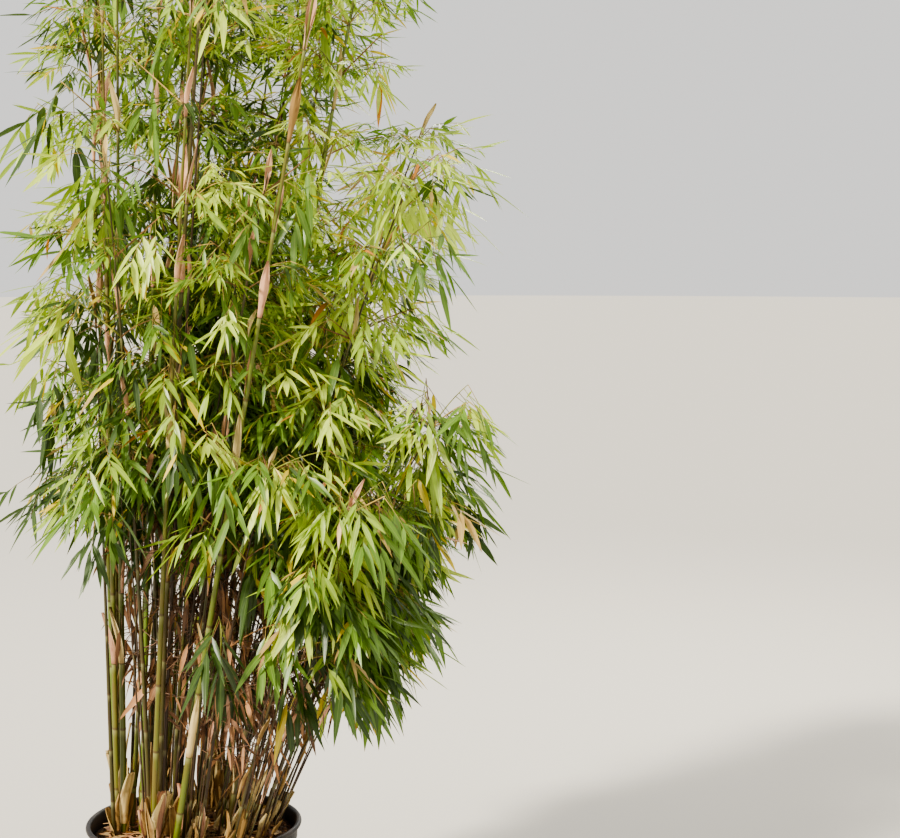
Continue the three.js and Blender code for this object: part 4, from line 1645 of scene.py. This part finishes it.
def level_ways(rng, spots, lengths, rise):
    """Near-level directions from spots, turned so that what lies along them stays within the pot."""
    headings = rng.uniform(0, 2 * math.pi, len(spots))
    for _ in range(WAY_TURNS):
        ways = direction(headings, rise)
        far = np.hypot(*(spots + ways * lengths[:, None])[:, :2].T) > LITTER_EDGE
        headings = np.where(far, rng.uniform(0, 2 * math.pi, len(spots)), headings)
    inwards = np.arctan2(-spots[:, 1], -spots[:, 0])
    return direction(np.where(far, inwards, headings), rise)


CHIP_QUADS = np.array([[0, 1, 3, 2], [4, 6, 7, 5], [0, 4, 5, 1], [2, 3, 7, 6], [0, 2, 6, 4], [1, 5, 7, 3]])
CHIP_CORNERS = np.array([[x, y, z] for x in (-0.5, 0.5) for y in (-0.5, 0.5) for z in (-0.5, 0.5)])
CHIP_CORNER_SIZES = (0.55, 1.1)
CHIP_SIZES = (0.003, 0.012)
CHIP_SHAPE = [1.0, 0.7, 0.4]
# Chips lie down rather than stand
CHIP_LEVEL = [1, 1, 0.35]
BARK_GRAIN = {"grain": 160.0, "depth": 0.001}


def add_chips(batch, rng, spots, sizes):
    """Adds rough chips: blocks with uneven corners, turned every way."""
    count = len(spots)
    forward = unit(rng.normal(size=(count, 3)) * CHIP_LEVEL)
    side = unit(np.cross(forward, rng.normal(size=(count, 3))))
    axes = np.stack([forward, side, np.cross(forward, side)], axis=1)
    corners = CHIP_CORNERS * rng.uniform(*CHIP_CORNER_SIZES, (count, 8, 3)) * sizes[:, None, :]
    quads = (np.arange(count) * 8)[:, None, None] + CHIP_QUADS
    batch.add(spots[:, None, :] + corners @ axes, [quads.reshape(-1, 4)])


STALK_POINTS = 6
STALK_SIDES = 5
STALK_KINK = 0.012
STALK_END = 0.6
LITTER_CURL = 0.12
DEAD_CURL = 0.3


def add_stalks(batch, rng, starts, ways, lengths, thick, curl):
    """Adds thin, crooked stalks."""
    share = np.linspace(0, 1, STALK_POINTS)[None, :, None]
    bow = rng.normal(size=(len(starts), 1, 3)) * curl
    kink = rng.normal(size=(len(starts), STALK_POINTS, 3)) * STALK_KINK
    shapes = ways[:, None, :] * share + bow * share * (1 - share) + kink
    radii = thick[:, None] * np.linspace(1, STALK_END, STALK_POINTS)
    add_tubes(batch, starts[:, None, :] + shapes * lengths[:, None, None], radii, STALK_SIDES)


# Fallen leaves by tone, with the sizes of what is strewn in metres and rises in degrees
FALLEN_SHARES = {"straw": 0.45, "tan": 0.35, "brown": 0.2}
FALLEN_LENGTHS = (0.05, 0.115)
FALLEN_RISES = (-3, 14)
FALLEN_LIFTS = (0.002, 0.012)
FALLEN_SLIMNESS = (0.11, 0.19)
FALLEN_DROOPS = (-0.1, 0.2)
FALLEN_ROLL = 0.5
FALLEN_TWIST = 0.9
STALK_LENGTHS = (0.04, 0.15)
STALK_RISES = (0, 16)
STALK_RADII = (0.0006, 0.0015)
STALK_LIFT = 0.003
BARK_COLOURS = (srgb(150, 112, 76), srgb(72, 48, 34))
STALK_COLOURS = (srgb(176, 140, 96), srgb(104, 72, 46))


class BAMBOO_OT_litter(bpy.types.Operator):
    """Strews dry leaves, bark chips and stalks over the soil"""

    bl_idname = "bamboo.litter"
    bl_label = "Litter"

    def execute(self, context):
        settings = context.scene.bamboo_soil
        rng = np.random.default_rng(SEED_LITTER)
        for name, share in FALLEN_SHARES.items():
            count = round(settings.leaves * share)
            spots = soil_spots(rng, count, LITTER_REACH)
            lengths = rng.uniform(*FALLEN_LENGTHS, count)
            ways = level_ways(rng, spots, lengths, rng.uniform(*FALLEN_RISES, count))
            lift = UP * rng.uniform(*FALLEN_LIFTS, (count, 1))
            widths = lengths * rng.uniform(*FALLEN_SLIMNESS, count)
            droops = rng.uniform(*FALLEN_DROOPS, count)
            rolls = rng.normal(0, FALLEN_ROLL, count)
            twists = rng.normal(0, FALLEN_TWIST, count)
            batch = Batch()
            add_leaves(batch, spots + lift, ways, lengths, widths, droops, rolls, twists, rng.random(count))
            batch.piece(f"litter_leaves_{name}", dry_leaf_material(name), "soil")
        chips = Batch()
        spots = soil_spots(rng, settings.chips, CHIP_REACH)
        sizes = rng.uniform(*CHIP_SIZES, (settings.chips, 1)) * CHIP_SHAPE
        add_chips(chips, rng, spots, sizes)
        bark = earth_material("bark_chips", *BARK_COLOURS, **BARK_GRAIN)
        chips.piece("litter_chips", bark, "soil")
        count = settings.stalks
        stalks = Batch()
        spots = soil_spots(rng, count, LITTER_REACH)
        lengths = rng.uniform(*STALK_LENGTHS, count)
        ways = level_ways(rng, spots, lengths, rng.uniform(*STALK_RISES, count))
        thick = rng.uniform(*STALK_RADII, count)
        add_stalks(stalks, rng, spots + UP * STALK_LIFT, ways, lengths, thick, LITTER_CURL)
        stalks.piece("litter_stalks", twig_material("stalks_dry", *STALK_COLOURS), "soil")
        return {"FINISHED"}


CULM_COLOURS = {
    "tall": {"young": srgb(82, 89, 25), "aged": srgb(70, 57, 19), "ageing": 0.18},
    "middle": {"young": srgb(74, 74, 22), "aged": srgb(67, 48, 22), "ageing": 0.32},
    "low": {"young": srgb(74, 67, 25), "aged": srgb(64, 44, 23), "ageing": 0.45},
}
THIN_CULM_COLOURS = {"young": srgb(68, 68, 23), "aged": srgb(60, 40, 23), "ageing": 0.42}
NEW_CULM_COLOURS = {"young": srgb(92, 112, 28), "aged": srgb(100, 88, 28), "ageing": 0.1}


class BAMBOO_OT_canes(bpy.types.Operator):
    """Makes the culms in place of the solids' canes"""

    bl_idname = "bamboo.canes"
    bl_label = "Culms"

    def execute(self, context):
        settings = context.scene.bamboo_canes
        for rank, colours in CULM_COLOURS.items():
            batch = Batch()
            canes = [cane for cane in clump().canes if cane.rank == rank]
            for cane in canes:
                add_culm(batch, cane, settings.internode, settings.swell, chance(cane.index, DRAW_TURN))
            names = [f"cane_{cane.name}" for cane in canes]
            batch.piece(f"culms_{rank}", culm_material(f"culm_{rank}", **colours), f"{rank}_canes", names)
        return {"FINISHED"}


def thin_culms(settings):
    """The thin culms beside those of the solids, by the settings."""
    return followers(settings.followers, settings.thinnest, settings.thickest)


class BAMBOO_OT_thin_canes(bpy.types.Operator):
    """Makes thin culms that come up between the others"""

    bl_idname = "bamboo.thin_canes"
    bl_label = "Thin culms"

    def execute(self, context):
        settings = context.scene.bamboo_canes
        batch = Batch()
        closer = settings.internode * THIN_INTERNODE
        for n, cane in enumerate(thin_culms(settings)):
            add_culm(batch, cane, closer, settings.swell, chance(n, DRAW_LENGTH), THIN_CULM_SIDES)
        batch.piece("culms_thin", culm_material("culm_thin", **THIN_CULM_COLOURS), "low_canes")
        new = Batch()
        for n, cane in enumerate(shoots(settings.shoots)):
            add_culm(new, cane, settings.internode, settings.swell, chance(n, DRAW_TURN))
        new.piece("culms_new", culm_material("culm_new", **NEW_CULM_COLOURS), "tall_canes")
        return {"FINISHED"}


SHEATH_COLOURS = looks(("face", "edge", "fleck"), {
    "tan": [(160, 126, 74), (196, 168, 116), (100, 68, 38)],
    "buff": [(212, 188, 130), (230, 214, 168), (150, 114, 66)],
    "pink": [(214, 164, 132), (236, 206, 176), (150, 92, 72)],
})
# The shares of these three kinds high up, low down and at the foot
HIGH_KINDS = [0.15, 0.3, 0.55]
LOW_KINDS = [0.5, 0.38, 0.12]
BASAL_KINDS = [0.35, 0.55, 0.1]
THIN_SHEATH_CHANCE = 0.2
SHOOT_SHEATH_CHANCE = 0.92
HIGH_SHARE = 0.4
LOW_SHEATHS = 0.45
# Sheaths at joints, with pairs as the least and the most
LEAST_SIZE = 0.45
JOINT_HEIGHTS = (0.7, 1.15)
HIGH_HEIGHT = 0.88
JOINT_HALF_WIDTHS = (0.0085, 0.0135)
JOINT_TURN_SPARE = 0.5
JOINT_FLARES = (0.03, 0.2)
JOINT_TIP_WIDTHS = (0.04, 0.2)
# Sheaths at the foot
BASAL_SHEATHS = (0, 3)
BASAL_START = 0.004
BASAL_SPACING = 0.03
BASAL_HALF_WIDTHS = (0.015, 0.021)
BASAL_HEIGHTS = (0.075, 0.12)
BASAL_TIP_WIDTHS = (0.35, 0.65)
BASAL_FLARES = (0.06, 0.2)


def strew_sheaths(batches, rng, cane, settings, chance_of_one):
    """Sheaths at some of a culm's joints: broad and blunt at its foot, long and slim higher up."""
    turn = rng.uniform(0, 2 * math.pi)
    size = LEAST_SIZE + (1 - LEAST_SIZE) * cane.foot / RANKS[0]["foot"]
    for n, distance in enumerate(joint_distances(cane, settings.internode)[1:-1]):
        high = distance / cane.length > HIGH_SHARE
        if rng.random() > chance_of_one * (1.0 if high else LOW_SHEATHS):
            continue
        kind = rng.choice(len(batches), p=HIGH_KINDS if high else LOW_KINDS)
        height = settings.sheath_height * size * rng.uniform(*JOINT_HEIGHTS) * (HIGH_HEIGHT if high else 1.0)
        half_width = (1 + size) / 2 * rng.uniform(*JOINT_HALF_WIDTHS)
        tone = rng.random()
        heading = turn + n * math.pi + sway(rng, JOINT_TURN_SPARE)
        flare = rng.uniform(*JOINT_FLARES)
        tip_width = rng.uniform(*JOINT_TIP_WIDTHS)
        add_sheath(batches[kind], cane, distance, heading, height, half_width, tip_width, flare, tone)
    for n in range(int(rng.integers(*BASAL_SHEATHS)) + (cane.foot > RANKS[1]["foot"])):
        distance = BASAL_START + n * BASAL_SPACING
        heading = rng.uniform(0, 2 * math.pi)
        half_width = rng.uniform(*BASAL_HALF_WIDTHS) * size
        height = rng.uniform(*BASAL_HEIGHTS) * size
        tip_width = rng.uniform(*BASAL_TIP_WIDTHS)
        flare = rng.uniform(*BASAL_FLARES)
        kind = rng.choice(len(batches), p=BASAL_KINDS)
        tone = rng.random()
        add_sheath(batches[kind], cane, distance, heading, height, half_width, tip_width, flare, tone)


class BAMBOO_OT_sheaths(bpy.types.Operator):
    """Wraps papery sheaths round some of the culms' joints"""

    bl_idname = "bamboo.sheaths"
    bl_label = "Sheaths"

    def execute(self, context):
        settings = context.scene.bamboo_canes
        rng = np.random.default_rng(SEED_SHEATHS)
        batches = [Batch() for _ in SHEATH_COLOURS]
        hosts = [
            (clump().canes, settings.sheath_chance),
            (thin_culms(settings), THIN_SHEATH_CHANCE),
            (shoots(settings.shoots), SHOOT_SHEATH_CHANCE),
        ]
        for canes, chance_of_one in hosts:
            for cane in canes:
                strew_sheaths(batches, rng, cane, settings, chance_of_one)
        for (kind, colours), batch in zip(SHEATH_COLOURS.items(), batches):
            batch.piece(f"sheaths_{kind}", sheath_material(f"sheath_{kind}", **colours), "middle_canes")
        return {"FINISHED"}


TWIG_COLOURS = {
    "green": (srgb(150, 150, 66), srgb(96, 104, 40)),
    "straw": (srgb(196, 168, 98), srgb(140, 112, 60)),
    "brown": (srgb(150, 108, 66), srgb(92, 62, 38)),
}
TWIG_POINTS = 7
TWIG_SIDES = 5
TWIG_END = 0.45
TWIGLET_KIND_SHARES = [0.45, 0.4, 0.15]
TWIGLET_RADIUS = 0.0009
TWIGLET_POINTS = 4
TWIGLET_SIDES = 3
TWIGLET_END = 0.5


def all_sprays(scene):
    """The plant's branches and fans, by the settings."""
    foliage, canes = scene.bamboo_foliage, scene.bamboo_canes
    culms = (canes.followers, canes.thinnest, canes.thickest, canes.shoots)
    return sprays(foliage.more_twigs, foliage.follower_twigs, *culms)


class BAMBOO_OT_twigs(bpy.types.Operator):
    """Makes the twigs and the thin stalks that carry the leaves"""

    bl_idname = "bamboo.twigs"
    bl_label = "Twigs"

    def execute(self, context):
        made = all_sprays(context.scene)
        rng = np.random.default_rng(SEED_LEAVES)
        share = np.linspace(0, 1, TWIG_POINTS)
        taper = np.linspace(1.0, TWIG_END, TWIG_POINTS)
        twiglet_radii = np.linspace(1, TWIGLET_END, TWIGLET_POINTS) * TWIGLET_RADIUS
        fan_twigs = rng.choice(len(TWIG_COLOURS), len(made.fans), p=TWIGLET_KIND_SHARES)
        for number, (kind, colours) in enumerate(TWIG_COLOURS.items()):
            batch = Batch()
            mine = [branch for branch in made.branches if branch[-1] == number]
            paths = np.array([bent(start, end, lift, share) for start, end, lift, _, _ in mine])
            radii = np.array([thick * taper for _, _, _, thick, _ in mine])
            add_tubes(batch, paths, radii, TWIG_SIDES)
            fans = [fan for fan, twig in zip(made.fans, fan_twigs) if twig == number]
            stalks = twiglet(*fan_lines(fans), np.linspace(0, 1, TWIGLET_POINTS))
            radii = np.broadcast_to(twiglet_radii, stalks.shape[:2])
            add_tubes(batch, stalks, radii, TWIGLET_SIDES)
            batch.piece(f"twigs_{kind}", twig_material(f"twig_{kind}", *colours), "foliage")
        return {"FINISHED"}


# The first four greens are one leaf green with painted light and shade, from the most lit to the most
# shaded; the rest are leaves that have turned
LEAF_COLOURS = looks(("blade", "rib", "tip"), {
    "painted_sunlit": [(188, 205, 98), (224, 228, 154), (206, 188, 118)],
    "painted_half_lit": [(150, 174, 72), (202, 208, 126), (190, 164, 92)],
    "mid": [(102, 133, 53), (164, 178, 98), (164, 138, 74)],
    "painted_shade": [(60, 82, 32), (110, 130, 66), (122, 98, 52)],
    "yellow": [(208, 184, 70), (226, 210, 124), (192, 122, 58)],
    "orange": [(188, 124, 62), (212, 168, 104), (150, 88, 50)],
    "dry": [(192, 162, 108), (218, 198, 150), (146, 100, 60)],
})
LEAF_FINISH = {"variation": 0.22, "through": 0.3, "roughness": 0.37}
TIP_START = 0.93
DRY_TIP_START = 0.85


class BAMBOO_OT_leaves(bpy.types.Operator):
    """Makes the leaves in place of the solids' leafy tops"""

    bl_idname = "bamboo.leaves"
    bl_label = "Leaves"

    def execute(self, context):
        settings = context.scene.bamboo_foliage
        made = all_sprays(context.scene)
        tops = [f"top_{cane.name}" for cane in clump().canes]
        rng = np.random.default_rng(SEED_LEAVES)
        batches = {kind: Batch() for kind in LEAF_COLOURS}
        for number, kind in enumerate(LEAF_KINDS):
            fans = [fan for fan in made.fans if fan[-1] == number]
            leaves, turned = fan_leaves(rng, fans, settings.leaf_share, settings.slimness)
            for name in ["", *TURNED_SHARES]:
                add_leaves(batches[name or kind], *(values[turned == name] for values in leaves))
        for kind, batch in batches.items():
            start = DRY_TIP_START if kind == "dry" else TIP_START
            material = leaf_material(f"leaf_{kind}", **LEAF_COLOURS[kind], tip_start=start, **LEAF_FINISH)
            batch.piece(f"leaves_{kind}", material, "foliage", tops)
        return {"FINISHED"}


DEAD_TWIGS = 680
DEAD_LEAVES = {"tan": 400, "brown": 600}
DEAD_COLOURS = (srgb(124, 92, 66), srgb(62, 42, 30))
# The place that dead twigs point to, and their spare turn in radians, with rises in degrees
DEAD_MIDDLE = np.array([0.16, 0.0, 0.8])
DEAD_TURN_SPARE = 0.8
DEAD_RISES = (-35, 60)
DEAD_SHARES = (0.45, 1.2)
DEAD_LENGTHS = (0.04, 0.16)
DEAD_RADII = (0.0006, 0.0013)
WITHERED_REACH = (0.3, 1.0)
WITHERED_RISES = (-88, -30)
WITHERED_LENGTHS = (0.045, 0.1)
WITHERED_SLIMNESS = (0.08, 0.15)
WITHERED_DROOPS = (0.2, 0.8)
WITHERED_ROLL = 0.6
WITHERED_TWIST = 1.2


class BAMBOO_OT_deadwood(bpy.types.Operator):
    """Adds dry twigs and withered leaves among the bare lengths of the culms"""

    bl_idname = "bamboo.deadwood"
    bl_label = "Dead twigs"

    def execute(self, context):
        rng = np.random.default_rng(SEED_DEADWOOD)
        canes = clump().canes
        picks = rng.choice(len(canes), DEAD_TWIGS)
        shares = np.array([canes[n].bare for n in picks]) * rng.uniform(*DEAD_SHARES, DEAD_TWIGS)
        starts = np.array([canes[n].point(share) for n, share in zip(picks, shares)])
        middle = DEAD_MIDDLE - starts
        headings = np.arctan2(middle[:, 1], middle[:, 0]) + rng.normal(0, DEAD_TURN_SPARE, DEAD_TWIGS)
        ways = direction(headings, rng.uniform(*DEAD_RISES, DEAD_TWIGS))
        lengths = rng.uniform(*DEAD_LENGTHS, DEAD_TWIGS)
        radii = rng.uniform(*DEAD_RADII, DEAD_TWIGS)
        batch = Batch()
        add_stalks(batch, rng, starts, ways, lengths, radii, DEAD_CURL)
        batch.piece("twigs_dead", twig_material("twig_dead", *DEAD_COLOURS), "foliage")
        for name, count in DEAD_LEAVES.items():
            hosts = rng.choice(DEAD_TWIGS, count)
            reach = rng.uniform(*WITHERED_REACH, (count, 1)) * lengths[hosts][:, None]
            roots = starts[hosts] + ways[hosts] * reach
            headings = rng.uniform(0, 2 * math.pi, count)
            leaf_ways = direction(headings, rng.uniform(*WITHERED_RISES, count))
            leaf_lengths = rng.uniform(*WITHERED_LENGTHS, count)
            droops = rng.uniform(*WITHERED_DROOPS, count)
            rolls = rng.normal(0, WITHERED_ROLL, count)
            twists = rng.normal(0, WITHERED_TWIST, count)
            widths = leaf_lengths * rng.uniform(*WITHERED_SLIMNESS, count)
            tones = rng.random(count)
            leaves = Batch()
            add_leaves(leaves, roots, leaf_ways, leaf_lengths, widths, droops, rolls, twists, tones)
            leaves.piece(f"leaves_dead_{name}", dry_leaf_material(name), "foliage")
        return {"FINISHED"}


class BAMBOO_PT_panel(bpy.types.Panel):
    """Settings and pieces of the potted bamboo"""

    bl_idname = "BAMBOO_PT_panel"
    bl_label = "Potted bamboo"
    bl_space_type = "VIEW_3D"
    bl_region_type = "UI"
    bl_category = "Bamboo"

    def draw(self, context):
        for name, group in SETTINGS.items():
            box = self.layout.box()
            for setting in group.__annotations__:
                box.prop(getattr(context.scene, name), setting)
        for step in STEPS:
            self.layout.operator(f"bamboo.{step}")


SETTINGS = {
    "bamboo_stage": StageSettings,
    "bamboo_pot": PotSettings,
    "bamboo_soil": SoilSettings,
    "bamboo_canes": CaneSettings,
    "bamboo_foliage": FoliageSettings,
}
OPERATORS = [
    BAMBOO_OT_stage,
    BAMBOO_OT_pot,
    BAMBOO_OT_soil,
    BAMBOO_OT_litter,
    BAMBOO_OT_canes,
    BAMBOO_OT_thin_canes,
    BAMBOO_OT_sheaths,
    BAMBOO_OT_twigs,
    BAMBOO_OT_leaves,
    BAMBOO_OT_deadwood,
]
STEPS = [operator.bl_idname.split(".")[1] for operator in OPERATORS]


def register():
    for cls in [*SETTINGS.values(), *OPERATORS, BAMBOO_PT_panel]:
        bpy.utils.register_class(cls)
    for name, group in SETTINGS.items():
        setattr(bpy.types.Scene, name, PointerProperty(type=group))


def unregister():
    for name in SETTINGS:
        delattr(bpy.types.Scene, name)
    for cls in reversed([*SETTINGS.values(), *OPERATORS, BAMBOO_PT_panel]):
        bpy.utils.unregister_class(cls)


def main():
    """Builds the whole plant."""
    register()
    for step in STEPS:
        getattr(bpy.ops.bamboo, step)()


if __name__ == "__main__":
    main()
